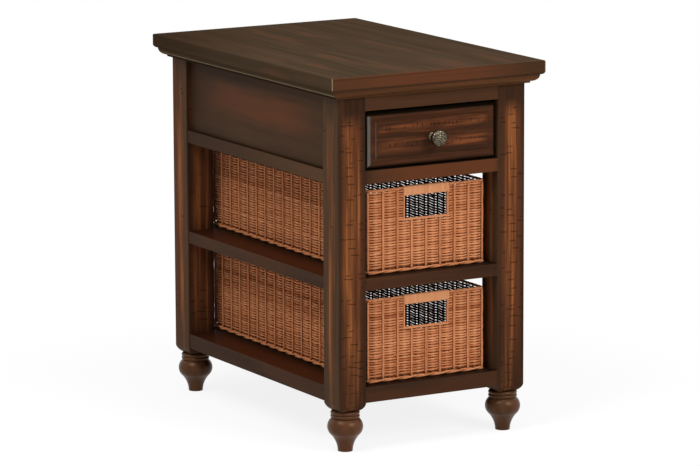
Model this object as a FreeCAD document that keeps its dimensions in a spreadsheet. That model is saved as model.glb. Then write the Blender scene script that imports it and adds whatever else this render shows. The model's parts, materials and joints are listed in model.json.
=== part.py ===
import FreeCAD, Part
import math
import os
from types import SimpleNamespace

import Sketcher

# Chairside table: a moulded top on four posts with turned feet, one dovetailed drawer over two open bays,
# and a woven basket in each bay. Millimetres, X to the right seen from the front, Y to the back, Z up. The
# origin lies on the floor under the middle of the case.

# Driving dimensions
SIZES = {
    # case
    "table_height": 635,
    "case_width": 360,
    "case_depth": 586,
    "post_width": 52,
    "post_edge_radius": 2,
    "post_end_height": 16.4,
    "post_end_inset": 10,
    "edge_reveal": 1.5,
    "edge_radius": 1.5,
    # top and its moulding
    "top_overhang": 25,
    "top_thickness": 24,
    "top_edge_radius": 2.5,
    "top_under_radius": 6,
    "moulding_step": 0.5,
    "moulding_round": 12,
    "moulding_fillet_height": 2.8,
    # turned foot
    "foot_height": 68.5,
    "foot_base_radius": 12.5,
    "foot_cove_radius": 14.5,
    "foot_swell_radius": 24,
    "foot_bulb_radius": 30,
    "foot_neck_radius": 22.3,
    "foot_bead_radius": 24.6,
    "foot_bead_root": 22.8,
    # boards, rail and panels
    "bottom_shelf_rise": 40.5,
    "bottom_shelf_thickness": 27,
    "middle_shelf_thickness": 22,
    "deck_thickness": 23,
    "apron_height": 138.5,
    "rail_height": 39.5,
    "rail_thickness": 22,
    "panel_thickness": 15,
    "panel_recess": 9,
    "panel_groove_depth": 6,
    "kicker_width": 24,
    # dowels, bolts and screws
    "dowel_radius": 4,
    "dowel_length": 40,
    "rod_chamfer": 1,
    "rail_dowel_pitch": 20,
    "bolt_radius": 4,
    "bolt_length": 60,
    "screw_radius": 2,
    "screw_length": 34,
    "screw_tip_length": 6,
    "screw_head_radius": 4,
    "screw_head_height": 2.5,
    "top_screw_reach": 14,
    "runner_screw_length": 20,
    # drawer
    "drawer_side_gap": 2.5,
    "drawer_top_gap": 2,
    "drawer_bottom_gap": 1.5,
    "drawer_front_thickness": 20,
    "drawer_face_setback": 2,
    "thumbnail_width": 13.5,
    "thumbnail_depth": 9,
    "field_margin": 17,
    "field_rise": 1.5,
    "field_bevel_angle": 35,
    "drawer_box_inset": 1,
    "drawer_back_gap": 90,
    "drawer_side_drop": 19,
    "drawer_board_thickness": 12,
    "drawer_bottom_thickness": 5,
    "drawer_bottom_height": 10,
    "drawer_groove_depth": 6,
    "tail_length": 12,
    "runner_width": 40,
    "runner_height": 8,
    "runner_front_gap": 0.3,
    "guide_width": 16,
    "guide_length": 50,
    "guide_inset": 12,
    # knob
    "rosette_radius": 8.2,
    "rosette_thickness": 3,
    "knob_projection": 27.5,
    "knob_radius": 14,
    "knob_drop": 2,
    "knob_neck_radius": 5,
    "knob_foot_radius": 6.5,
    "knob_rim_height": 14.5,
    "knob_rim_thickness": 4,
    "knob_edge_radius": 5,
    "knob_screw_radius": 2,
    "knob_screw_depth": 12,
    # baskets
    "basket_side_gap": 13,
    "basket_top_gap": 12.5,
    "basket_setback": 20,
    "basket_back_gap": 18,
    "basket_corner_radius": 9,
    "basket_wall": 7,
    "stake_width": 4.8,
    "stake_inset": 4.7,
    "weave_valley": 3.4,
    "weave_crest": 0.6,
    "basket_base_thickness": 5,
    "basket_base_height": 2,
    "border_height": 6,
    "border_proud": 1.5,
    "border_radius": 2.5,
    "rim_height": 5,
    "rim_radius": 2,
    "wrap_thickness": 1.2,
    "grip_width": 88,
    "grip_height": 17,
    "hole_width": 83,
    "hole_height": 39.5,
    # fits
    "fit_clearance": 0.1,
    "seat_clearance": 0.3,
    "guide_clearance": 0.5,
    "overrun": 1,
}

# Shares of the sizes that they follow, and counts
QUARTER_ROUND_SHARE = 1 - math.sqrt(0.5)
POST_END_SHARES = (0.27, 0.586)
FOOT_SHARES = {"cove": 0.175, "swell": 0.41, "bulb": 0.613, "neck": 0.825}
LOWER_BAY_SHARE = 0.5085
TOP_SCREW_SHARE = 0.325
RUNNER_SCREW_SHARE = 0.37
TAIL_ROOT_SHARE = 0.28
TAIL_TIP_SHARE = 0.36
KNOB_NECK_SHARE = 0.55
TAIL_COUNT = 3
FRONT_WEAVE_BAYS = 8
SIDE_WEAVE_BAYS = 17
TOUCH = 1e-6

X_AXIS = FreeCAD.Vector(1, 0, 0)
Y_AXIS = FreeCAD.Vector(0, 1, 0)
Z_AXIS = FreeCAD.Vector(0, 0, 1)
CORNERS = {"front_left": (-1, -1), "front_right": (1, -1), "rear_left": (-1, 1), "rear_right": (1, 1)}


class Size:
    """A length that carries its number and the spreadsheet formula that gives it."""

    def __init__(self, value, formula):
        self.value = value
        self.formula = formula

    def __add__(self, other):
        other = as_size(other)
        return Size(self.value + other.value, f"({self.formula} + {other.formula})")

    def __sub__(self, other):
        other = as_size(other)
        return Size(self.value - other.value, f"({self.formula} - {other.formula})")

    def __mul__(self, factor):
        return Size(self.value * factor, f"({self.formula} * {factor})")

    def __truediv__(self, divisor):
        return Size(self.value / divisor, f"({self.formula} / {divisor})")

    def __neg__(self):
        return self * -1

    __rmul__ = __mul__


def as_size(number):
    return number if isinstance(number, Size) else Size(float(number), str(number))


def write_sheet(document):
    """Puts every driving dimension in a named cell and returns them as sizes."""
    sheet = document.addObject("Spreadsheet::Sheet", "Sizes")
    for row, (name, value) in enumerate(SIZES.items(), 1):
        sheet.set(f"A{row}", name)
        sheet.set(f"B{row}", str(value))
        sheet.setAlias(f"B{row}", name)
    document.recompute()
    return SimpleNamespace(**{name: Size(sheet.get(name), f"Sizes.{name}") for name in SIZES})


doc = FreeCAD.newDocument("chairside_table")
d = write_sheet(doc)
nodes = []

# Places worked out from the driving dimensions
half_width = d.case_width / 2
half_depth = d.case_depth / 2
post_x = half_width - d.post_width / 2
post_y = half_depth - d.post_width / 2
inner_x = half_width - d.post_width
inner_y = half_depth - d.post_width
top_underside = d.table_height - d.top_thickness
deck_top = top_underside - d.apron_height
drawer_opening_top = top_underside - d.rail_height
drawer_opening_height = d.apron_height - d.rail_height
bottom_shelf_top = d.foot_height + d.bottom_shelf_rise
bay_heights = deck_top - d.deck_thickness - d.middle_shelf_thickness - bottom_shelf_top
middle_shelf_top = bottom_shelf_top + bay_heights * LOWER_BAY_SHARE + d.middle_shelf_thickness
panel_outer_x = half_width - d.panel_recess
panel_outer_y = half_depth - d.panel_recess
rail_front_y = -half_depth + d.edge_reveal
rail_back_y = rail_front_y + d.rail_thickness
hole_radius = d.dowel_radius + d.fit_clearance
bolt_hole_radius = d.bolt_radius + d.fit_clearance
screw_hole_radius = d.screw_radius + d.fit_clearance
screw_head_hole_radius = d.screw_head_radius + d.fit_clearance
half_dowel = d.dowel_length / 2
runner_screw_sink = d.screw_head_height + d.seat_clearance
runner_pilot = d.runner_screw_length - d.runner_height + runner_screw_sink + d.seat_clearance
rail_middle_y = rail_front_y + d.rail_thickness / 2
rail_middle_z = (drawer_opening_top + top_underside) / 2
rail_dowel_heights = (rail_middle_z - d.rail_dowel_pitch / 2, rail_middle_z + d.rail_dowel_pitch / 2)
drill_depth = half_dowel + d.seat_clearance + d.overrun
BOARDS = {
    "bottom_shelf": (bottom_shelf_top, d.bottom_shelf_thickness),
    "middle_shelf": (middle_shelf_top, d.middle_shelf_thickness),
    "drawer_deck": (deck_top, d.deck_thickness),
}
board_middles = [top - thickness / 2 for top, thickness in BOARDS.values()]


# Sketch helpers


def vector(place):
    return FreeCAD.Vector(as_size(place[0]).value, as_size(place[1]).value, 0)


def fix_point(sketch, edge, end, place):
    """Ties a point of a sketch to its two coordinates."""
    for kind, axis_line, coordinate in (("DistanceX", -2, place[0]), ("DistanceY", -1, place[1])):
        coordinate = as_size(coordinate)
        if abs(coordinate.value) < TOUCH:
            sketch.addConstraint(Sketcher.Constraint("PointOnObject", edge, end, axis_line))
        else:
            rule = Sketcher.Constraint(kind, -1, 1, edge, end, coordinate.value)
            number = sketch.addConstraint(rule)
            sketch.setExpression(f"Constraints[{number}]", coordinate.formula)


def draw(sketch, corners):
    """Draws a closed outline. A corner is (x, y), or (x, y, via) where an arc through via leaves it."""
    edges = []
    for corner, following in zip(corners, corners[1:] + corners[:1]):
        begin = vector(corner)
        finish = vector(following)
        if len(corner) == 3:
            curve = Part.Arc(begin, vector(corner[2]), finish)
        else:
            curve = Part.LineSegment(begin, finish)
        edge = sketch.addGeometry(curve)
        forward = sketch.getPoint(edge, 1).isEqual(begin, TOUCH)
        edges.append((edge, 1, 2) if forward else (edge, 2, 1))
    for corner, this, previous in zip(corners, edges, edges[-1:] + edges[:-1]):
        sketch.addConstraint(Sketcher.Constraint("Coincident", previous[0], previous[2], this[0], this[1]))
        fix_point(sketch, this[0], this[1], corner)
        if len(corner) == 3:
            spot = sketch.addGeometry(Part.Point(vector(corner[2])), True)
            fix_point(sketch, spot, 1, corner[2])
            sketch.addConstraint(Sketcher.Constraint("PointOnObject", spot, 1, this[0]))


def rectangle(low_x, low_y, high_x, high_y):
    return [(low_x, low_y), (high_x, low_y), (high_x, high_y), (low_x, high_y)]


def rounded_rectangle(half_x, half_y, radius):
    inside = radius * QUARTER_ROUND_SHARE
    corners = []
    for side, end, along_first in ((1, -1, True), (1, 1, False), (-1, 1, True), (-1, -1, False)):
        on_end = (side * (half_x - radius), end * half_y)
        on_side = (side * half_x, end * (half_y - radius))
        via = (side * (half_x - inside), end * (half_y - inside))
        first, second = (on_end, on_side) if along_first else (on_side, on_end)
        corners += [(*first, via), second]
    return corners


def mirrored(corners):
    """The same outline on the other side of the sketch's upright axis."""
    flipped = []
    for corner in corners:
        via = ((-corner[2][0], corner[2][1]),) if len(corner) == 3 else ()
        flipped.append((-as_size(corner[0]), corner[1], *via))
    return flipped


# Body helpers


def new_body(name, x=0, y=0, z=0, turn=0):
    """A body at a place in the table, turned about the upright axis by a number of degrees."""
    body = doc.addObject("PartDesign::Body", name)
    body.Label = name
    body.Placement = FreeCAD.Placement(FreeCAD.Vector(), FreeCAD.Rotation(Z_AXIS, turn))
    for axis, value in (("x", x), ("y", y), ("z", z)):
        body.setExpression(f"Placement.Base.{axis}", as_size(value).formula)
    return body


def sketch_on(body, plane, outlines, offset=0):
    """A sketch on one of the body's own planes, moved along the plane's normal by offset."""
    sketch = body.newObject("Sketcher::SketchObject", f"{body.Label}_sketch")
    support = [feature for feature in body.Origin.OriginFeatures if feature.Role == f"{plane}_Plane"]
    sketch.AttachmentSupport = [(support[0], "")]
    sketch.MapMode = "FlatFace"
    sketch.setExpression("AttachmentOffset.Base.z", as_size(offset).formula)
    for outline in outlines:
        draw(sketch, outline)
    return sketch


def pad(body, sketch, length, symmetric=False):
    feature = body.newObject("PartDesign::Pad", f"{body.Label}_pad")
    feature.Profile = sketch
    feature.SideType = "Symmetric" if symmetric else "One side"
    feature.setExpression("Length", length.formula)
    return feature


def pocket(body, sketch, depth, symmetric=False, reverse=False):
    feature = body.newObject("PartDesign::Pocket", f"{body.Label}_pocket")
    feature.Profile = sketch
    feature.SideType = "Symmetric" if symmetric else "One side"
    feature.Reversed = reverse
    feature.setExpression("Length", depth.formula)
    return feature


def revolve(body, sketch):
    feature = body.newObject("PartDesign::Revolution", f"{body.Label}_turning")
    feature.Profile = sketch
    feature.ReferenceAxis = (sketch, ["V_Axis"])
    return feature


def place_feature(feature, place, rotation=FreeCAD.Rotation()):
    feature.Placement = FreeCAD.Placement(FreeCAD.Vector(), rotation)
    for axis, value in zip("xyz", place):
        feature.setExpression(f"Placement.Base.{axis}", as_size(value).formula)


def bore(body, radius, length, place, direction=Z_AXIS):
    """Drills a round hole that starts at place and runs along direction."""
    feature = body.newObject("PartDesign::SubtractiveCylinder", f"{body.Label}_bore")
    feature.setExpression("Radius", radius.formula)
    feature.setExpression("Height", length.formula)
    place_feature(feature, place, FreeCAD.Rotation(Z_AXIS, direction))
    return feature


def slot(body, low, high):
    """Cuts a square-edged slot between two corners."""
    feature = body.newObject("PartDesign::SubtractiveBox", f"{body.Label}_slot")
    for name, begin, finish in zip(("Length", "Width", "Height"), low, high):
        feature.setExpression(name, (as_size(finish) - begin).formula)
    place_feature(feature, low)
    return feature


def round_edges(body, radius, wanted):
    """Rounds those edges of the body that wanted picks."""
    doc.recompute()
    base = body.Tip
    names = [f"Edge{number}" for number, edge in enumerate(base.Shape.Edges, 1) if wanted(edge)]
    feature = body.newObject("PartDesign::Fillet", f"{body.Label}_round")
    feature.Base = (base, names)
    feature.setExpression("Radius", radius.formula)
    return feature


def along(edge, axis):
    """True for a straight edge that runs along X, Y or Z."""
    if edge.Curve.TypeId != "Part::GeomLine":
        return False
    return abs(edge.Curve.Direction.dot(axis)) > 1 - TOUCH


def sorted_sizes(one, other):
    return (one, other) if one.value < other.value else (other, one)


def near(number, size):
    return abs(number - size.value) < TOUCH


def board(name, length_x, length_y, height, x=0, y=0, z=0):
    """A square-edged board, centred on x and y, that stands on z."""
    body = new_body(name, x, y, z)
    outline = rectangle(-length_x / 2, -length_y / 2, length_x / 2, length_y / 2)
    pad(body, sketch_on(body, "XY", [outline]), height)
    return body


def group(name, members):
    """One node of like pieces, each a solid of its own."""
    node = doc.addObject("Part::Compound", name)
    node.Label = name
    node.Links = members
    return node


# Case


def make_post(name, side, end):
    """A square post, rounded in at its lower end, bored for bolt and dowels and grooved for panels."""
    body = new_body(name, side * post_x, end * post_y)
    half = d.post_width / 2
    length = top_underside - d.foot_height
    section = rounded_rectangle(half, half, d.post_edge_radius)
    pad(body, sketch_on(body, "XY", [section], d.foot_height), length)

    end_top = d.foot_height + d.post_end_height
    via_x = half - d.post_end_inset * POST_END_SHARES[0]
    via_z = end_top - d.post_end_height * POST_END_SHARES[1]
    waste = [
        (half, end_top, (via_x, via_z)),
        (half - d.post_end_inset, d.foot_height),
        (half - d.post_end_inset, d.foot_height - d.overrun),
        (half + d.overrun, d.foot_height - d.overrun),
        (half + d.overrun, end_top),
    ]
    for plane in ("XZ", "YZ"):
        pocket(body, sketch_on(body, plane, [waste, mirrored(waste)]), d.post_width * 2, symmetric=True)

    bore(body, bolt_hole_radius, d.bolt_length / 2 + d.overrun, (0, 0, d.foot_height - d.overrun))

    outward = X_AXIS * side
    mouth = -side * (half + d.overrun)
    for height in board_middles:
        bore(body, hole_radius, drill_depth, (mouth, 0, height), outward)
    if end < 0:
        for height in rail_dowel_heights:
            bore(body, hole_radius, drill_depth, (mouth, rail_middle_y + post_y, height), outward)

    groove_bottom = deck_top
    groove_top = top_underside + d.overrun
    depth = d.panel_groove_depth + d.fit_clearance
    outer = half - d.panel_recess + d.fit_clearance
    inner = outer - d.panel_thickness - d.fit_clearance * 2
    side_low, side_high = sorted_sizes(side * outer, side * inner)
    face_low, face_high = sorted_sizes(-end * (half - depth), -end * (half + d.overrun))
    slot(body, (side_low, face_low, groove_bottom), (side_high, face_high, groove_top))
    if end > 0:
        face_low, face_high = sorted_sizes(-side * (half - depth), -side * (half + d.overrun))
        slot(body, (face_low, inner, groove_bottom), (face_high, outer, groove_top))
    return body


def make_notched_board(name, top, thickness):
    """A shelf board cut out round the posts, with eased edges and dowel holes in the cut-outs."""
    body = new_body(name, z=top - thickness)
    edge_x = half_width - d.edge_reveal
    edge_y = half_depth - d.edge_reveal
    outline = [
        (-inner_x, -edge_y),
        (inner_x, -edge_y),
        (inner_x, -inner_y),
        (edge_x, -inner_y),
        (edge_x, inner_y),
        (inner_x, inner_y),
        (inner_x, edge_y),
        (-inner_x, edge_y),
        (-inner_x, inner_y),
        (-edge_x, inner_y),
        (-edge_x, -inner_y),
        (-inner_x, -inner_y),
    ]
    pad(body, sketch_on(body, "XY", [outline]), thickness)

    def on_show(edge):
        middle = edge.CenterOfMass
        on_front = along(edge, X_AXIS) and near(abs(middle.y), edge_y)
        return on_front or (along(edge, Y_AXIS) and near(abs(middle.x), edge_x))

    round_edges(body, d.edge_radius, on_show)
    for side, end in CORNERS.values():
        mouth = (side * (inner_x + d.overrun), end * post_y, thickness / 2)
        bore(body, hole_radius, drill_depth, mouth, X_AXIS * -side)
    return body


def make_top():
    """The slab: eased above, rounded below, with pilot holes for the screws that hold it."""
    body = board(
        "table_top",
        d.case_width + d.top_overhang * 2,
        d.case_depth + d.top_overhang * 2,
        d.top_thickness,
        z=top_underside,
    )

    def flat_edge_at(height):
        def wanted(edge):
            return not along(edge, Z_AXIS) and near(edge.CenterOfMass.z, height)

        return wanted

    round_edges(body, d.top_edge_radius, flat_edge_at(d.top_thickness))
    round_edges(body, d.top_under_radius, flat_edge_at(as_size(0)))
    for x, y in top_screw_places():
        pilot = d.top_screw_reach + d.seat_clearance + d.overrun
        bore(body, screw_hole_radius, pilot, (x, y, -d.overrun))
    return body


def make_moulding(name, run, y, turn, axis):
    """A strip under the slab: quarter round over a small fillet, mitred at both ends."""
    reach = d.top_overhang - d.top_under_radius - d.moulding_step
    height = d.moulding_round + d.moulding_fillet_height
    place = {"x": 0, "y": 0, axis: y}
    body = new_body(name, place["x"], place["y"], top_underside - height, turn)
    inside = d.moulding_round * QUARTER_ROUND_SHARE
    profile = [
        (0, 0),
        (0, height),
        (-reach, height, (-reach + inside, d.moulding_fillet_height + inside)),
        (-reach + d.moulding_round, d.moulding_fillet_height),
        (-reach + d.moulding_round, 0),
    ]
    length = run + reach * 2
    pad(body, sketch_on(body, "YZ", [profile]), length, symmetric=True)
    mitre = [
        (length / 2, -reach),
        (length / 2 + d.overrun, -reach),
        (length / 2 + d.overrun, d.overrun),
        (length / 2 - reach - d.overrun, d.overrun),
    ]
    pocket(body, sketch_on(body, "XY", [mitre, mirrored(mitre)]), height * 3, symmetric=True)
    return body


def make_foot(name, side, end):
    """A turned foot: cove, urn, neck and two beads under the post."""
    body = new_body(name, side * post_x, end * post_y)
    cove_height, swell_height, bulb_height, neck_height = (
        d.foot_height * share for share in FOOT_SHARES.values()
    )
    bead_height = (d.foot_height - neck_height) / 2
    bead_root_z = neck_height + bead_height
    lower_bead = (d.foot_bead_radius, bead_root_z - bead_height / 2)
    upper_bead = (d.foot_bead_radius, bead_root_z + bead_height / 2)
    profile = [
        (0, 0),
        (d.foot_base_radius, 0, (d.foot_cove_radius, cove_height)),
        (d.foot_swell_radius, swell_height, (d.foot_bulb_radius, bulb_height)),
        (d.foot_neck_radius, neck_height),
        (d.foot_bead_root, neck_height, lower_bead),
        (d.foot_bead_root, bead_root_z, upper_bead),
        (d.foot_bead_root, d.foot_height),
        (0, d.foot_height),
    ]
    revolve(body, sketch_on(body, "XZ", [profile]))
    depth = d.bolt_length / 2 + d.overrun
    bore(body, bolt_hole_radius, depth, (0, 0, d.foot_height - d.bolt_length / 2))
    return body


def make_rod(name, radius, length, place, direction):
    """A dowel or bolt along direction, centred on place, with chamfered ends."""
    body = doc.addObject("PartDesign::Body", name)
    body.Label = name
    place_feature(body, place, FreeCAD.Rotation(Z_AXIS, direction))
    half = length / 2
    chamfer = d.rod_chamfer
    profile = [
        (0, -half),
        (radius - chamfer, -half),
        (radius, -half + chamfer),
        (radius, half - chamfer),
        (radius - chamfer, half),
        (0, half),
    ]
    revolve(body, sketch_on(body, "XZ", [profile]))
    return body


def make_screw(name, radius, length, tip, place, direction):
    """A screw along direction with its flat head's underside at place."""
    body = doc.addObject("PartDesign::Body", name)
    body.Label = name
    place_feature(body, place, FreeCAD.Rotation(Z_AXIS, direction))
    profile = [
        (0, -d.screw_head_height),
        (d.screw_head_radius, -d.screw_head_height),
        (d.screw_head_radius, 0),
        (radius, 0),
        (radius, length - tip),
        (radius / 2, length),
        (0, length),
    ]
    revolve(body, sketch_on(body, "XZ", [profile]))
    return body


def make_wood_screw(name, length, place, direction):
    return make_screw(name, d.screw_radius, length, d.screw_tip_length, place, direction)


def top_screw_y(row):
    return d.case_depth * TOP_SCREW_SHARE * row


def top_screw_places():
    x = inner_x - d.kicker_width / 2
    return [(side * x, top_screw_y(row)) for side in (-1, 1) for row in (-1, 0, 1)]


def make_kicker(name, side):
    """A rail over the drawer's side, counterbored from below for the screws that hold the top."""
    back_y = panel_outer_y - d.panel_thickness
    length = back_y - rail_back_y
    middle_y = (back_y + rail_back_y) / 2
    height = top_underside - drawer_opening_top
    x = side * (inner_x - d.kicker_width / 2)
    body = board(name, d.kicker_width, length, height, x, middle_y, drawer_opening_top)
    head_z = height - (d.screw_length - d.top_screw_reach)
    for row in (-1, 0, 1):
        y = top_screw_y(row) - middle_y
        bore(body, screw_hole_radius, height + d.overrun * 2, (0, y, -d.overrun))
        bore(body, screw_head_hole_radius, head_z + d.overrun, (0, y, -d.overrun))
    return body


def make_front_rail():
    """The rail over the drawer, with eased front edges and two dowel holes in each end."""
    height = top_underside - drawer_opening_top
    body = board(
        "front_top_rail", inner_x * 2, d.rail_thickness, height, y=rail_middle_y, z=drawer_opening_top
    )

    def lower_front(edge):
        middle = edge.CenterOfMass
        return along(edge, X_AXIS) and near(middle.z, as_size(0)) and near(middle.y, -d.rail_thickness / 2)

    round_edges(body, d.edge_radius, lower_front)
    for side in (-1, 1):
        for level in rail_dowel_heights:
            mouth = (side * (inner_x + d.overrun), 0, level - drawer_opening_top)
            bore(body, hole_radius, drill_depth, mouth, X_AXIS * -side)
    return body


def make_case():
    for name, (side, end) in CORNERS.items():
        nodes.append(make_post(f"{name}_post", side, end))
        nodes.append(make_foot(f"{name}_foot", side, end))
    boards = {name: make_notched_board(name, *spec) for name, spec in BOARDS.items()}
    nodes.extend(boards.values())
    for row in (-1, 1):
        start = (0, runner_screw_y(row), d.deck_thickness + d.overrun)
        bore(boards["drawer_deck"], screw_hole_radius, runner_pilot + d.overrun, start, -Z_AXIS)
    nodes.append(make_top())
    nodes.append(make_moulding("front_moulding", d.case_width, -half_depth, 0, "y"))
    nodes.append(make_moulding("rear_moulding", d.case_width, half_depth, 180, "y"))
    nodes.append(make_moulding("right_moulding", d.case_depth, half_width, 90, "x"))
    nodes.append(make_moulding("left_moulding", d.case_depth, -half_width, -90, "x"))
    nodes.append(make_front_rail())

    panel_height = top_underside - deck_top
    panel_x = panel_outer_x - d.panel_thickness / 2
    panel_y = panel_outer_y - d.panel_thickness / 2
    side_length = (inner_y + d.panel_groove_depth) * 2
    back_length = (inner_x + d.panel_groove_depth) * 2
    for name, side in (("left_side_panel", -1), ("right_side_panel", 1)):
        x = side * panel_x
        nodes.append(board(name, d.panel_thickness, side_length, panel_height, x, 0, deck_top))
    nodes.append(board("back_panel", back_length, d.panel_thickness, panel_height, 0, panel_y, deck_top))
    nodes.append(make_kicker("left_kicker", -1))
    nodes.append(make_kicker("right_kicker", 1))

    bolts = []
    dowels = []
    for name, (side, end) in CORNERS.items():
        place = (side * post_x, end * post_y, d.foot_height)
        bolts.append(make_rod(f"{name}_bolt", d.bolt_radius, d.bolt_length, place, Z_AXIS))
        spots = [(end * post_y, level) for level in board_middles]
        if end < 0:
            spots += [(rail_middle_y, level) for level in rail_dowel_heights]
        for y, z in spots:
            place = (side * inner_x, y, z)
            dowels.append(make_rod(f"{name}_dowel", d.dowel_radius, d.dowel_length, place, X_AXIS))
    nodes.append(group("foot_bolts", bolts))
    nodes.append(group("case_dowels", dowels))

    screws = []
    for x, y in top_screw_places():
        place = (x, y, top_underside - (d.screw_length - d.top_screw_reach))
        screws.append(make_wood_screw("top_screw", d.screw_length, place, Z_AXIS))
    nodes.append(group("top_screws", screws))


# Drawer, drawn from the middle of its face on the deck

face_y = -half_depth + d.drawer_face_setback
drawer_length = panel_outer_y - d.panel_thickness - face_y - d.drawer_back_gap
drawer_side_height = drawer_opening_height - d.drawer_side_drop
front_half = inner_x - d.drawer_side_gap
box_half = front_half - d.drawer_box_inset
box_inside = box_half - d.drawer_board_thickness
front_low = d.drawer_bottom_gap
front_high = drawer_opening_height - d.drawer_top_gap
knob_height = (front_low + front_high) / 2 - d.knob_drop
panel_low = d.drawer_bottom_height
panel_high = panel_low + d.drawer_bottom_thickness
socket_y = d.drawer_front_thickness - d.tail_length


def drawer_body(name):
    return new_body(name, 0, face_y, deck_top)


def tail_outlines(low, high, root_y, tip_y, slack=0):
    """The tails between two heights, each as four corners from the top down, wider by slack for a socket."""
    pitch = (high - low) / TAIL_COUNT
    outlines = []
    for number in reversed(range(TAIL_COUNT)):
        middle = low + pitch * (number + 0.5)
        root = pitch * TAIL_ROOT_SHARE + slack
        tip = pitch * TAIL_TIP_SHARE + slack * 2
        upper = [(root_y, middle + root), (tip_y, middle + tip)]
        lower = [(tip_y, middle - tip), (root_y, middle - root)]
        outlines.append(upper + lower)
    return outlines


def front_tails(slack=0):
    root_y = d.drawer_front_thickness + (d.overrun if slack else 0)
    return tail_outlines(as_size(0), drawer_side_height, root_y, as_size(socket_y) - slack, slack)


def back_tails(slack=0):
    tip_y = drawer_length + (d.overrun if slack else 0)
    root_y = drawer_length - d.drawer_board_thickness - slack
    return tail_outlines(panel_high, drawer_side_height, root_y, tip_y, slack)


def make_drawer_side(name, side):
    """A drawer side with tails at both ends and a groove for the bottom."""
    body = drawer_body(name)
    rear_tail_root = drawer_length - d.drawer_board_thickness
    outline = [(d.drawer_front_thickness, 0), (drawer_length, 0), (drawer_length, panel_high)]
    outline.append((rear_tail_root, panel_high))
    for tail in reversed(back_tails()):
        outline += tail[::-1]
    outline += [(rear_tail_root, drawer_side_height), (d.drawer_front_thickness, drawer_side_height)]
    for tail in front_tails():
        outline += tail
    offset = box_inside if side > 0 else -box_half
    pad(body, sketch_on(body, "YZ", [outline], offset), d.drawer_board_thickness)
    low, high = sorted_sizes(side * (box_inside - d.overrun), side * (box_inside + d.drawer_groove_depth))
    slot(
        body,
        (low, 0, panel_low - d.fit_clearance),
        (high, drawer_length + d.overrun, panel_high + d.fit_clearance),
    )
    return body


def make_drawer_front():
    """The drawer front: thumbnail edge all round, raised field, sockets and groove behind."""
    body = drawer_body("drawer_front")
    inside_x = d.thumbnail_width * QUARTER_ROUND_SHARE
    inside_y = d.thumbnail_depth * QUARTER_ROUND_SHARE
    plan = [
        (-front_half, d.drawer_front_thickness),
        (-front_half, d.thumbnail_depth, (-front_half + inside_x, inside_y)),
        (-front_half + d.thumbnail_width, 0),
        (front_half - d.thumbnail_width, 0, (front_half - inside_x, inside_y)),
        (front_half, d.thumbnail_depth),
        (front_half, d.drawer_front_thickness),
    ]
    pad(body, sketch_on(body, "XY", [plan], front_low), front_high - front_low)

    waste = []
    for edge, inward in ((front_low, 1), (front_high, -1)):
        waste.append(
            [
                (d.thumbnail_depth, edge, (inside_y, edge + inside_x * inward)),
                (0, edge + d.thumbnail_width * inward),
                (-d.overrun, edge + d.thumbnail_width * inward),
                (-d.overrun, edge - d.overrun * inward),
                (d.thumbnail_depth, edge - d.overrun * inward),
            ]
        )
    pocket(body, sketch_on(body, "YZ", waste), front_half * 4, symmetric=True)

    field_half = front_half - d.field_margin
    field = rectangle(-field_half, front_low + d.field_margin, field_half, front_high - d.field_margin)
    raised = pad(body, sketch_on(body, "XZ", [field]), d.field_rise)
    raised.setExpression("TaperAngle", f"-{d.field_bevel_angle.formula}")

    slack = d.fit_clearance
    depth = d.drawer_box_inset + d.drawer_board_thickness + slack
    for side in (-1, 1):
        sketch = sketch_on(body, "YZ", front_tails(slack), side * front_half)
        pocket(body, sketch, depth, reverse=side < 0)
    groove_half = box_inside + d.drawer_groove_depth
    slot(
        body,
        (-groove_half, d.drawer_front_thickness - d.drawer_groove_depth, panel_low - slack),
        (groove_half, d.drawer_front_thickness + d.overrun, panel_high + slack),
    )
    length = d.drawer_front_thickness + d.field_rise + d.overrun * 2
    start = (0, -d.field_rise - d.overrun, knob_height)
    bore(body, d.knob_screw_radius + slack, length, start, Y_AXIS)
    return body


def make_drawer_back():
    """The drawer back, resting on the bottom, with sockets for the sides' tails."""
    body = drawer_body("drawer_back")
    low_y = drawer_length - d.drawer_board_thickness
    outline = rectangle(-box_half, low_y, box_half, drawer_length)
    height = drawer_side_height - panel_high
    pad(body, sketch_on(body, "XY", [outline], panel_high), height)
    slack = d.fit_clearance
    for side in (-1, 1):
        sketch = sketch_on(body, "YZ", back_tails(slack), side * box_half)
        pocket(body, sketch, d.drawer_board_thickness + slack, reverse=side < 0)
    return body


def make_drawer_bottom():
    body = drawer_body("drawer_bottom")
    half = box_inside + d.drawer_groove_depth - d.fit_clearance
    front = d.drawer_front_thickness - d.drawer_groove_depth + d.fit_clearance
    outline = rectangle(-half, front, half, drawer_length)
    pad(body, sketch_on(body, "XY", [outline], panel_low), d.drawer_bottom_thickness)
    return body


def make_drawer_guides():
    """Two blocks under the drawer bottom that straddle the runner."""
    blocks = []
    for name, side in (("left_guide", -1), ("right_guide", 1)):
        body = drawer_body(name)
        inner = d.runner_width / 2 + d.guide_clearance
        low, high = sorted_sizes(side * inner, side * (inner + d.guide_width))
        rear = drawer_length - d.guide_inset
        outline = rectangle(low, rear - d.guide_length, high, rear)
        pad(body, sketch_on(body, "XY", [outline], d.seat_clearance), panel_low - d.seat_clearance)
        blocks.append(body)
    return group("drawer_guides", blocks)


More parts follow.
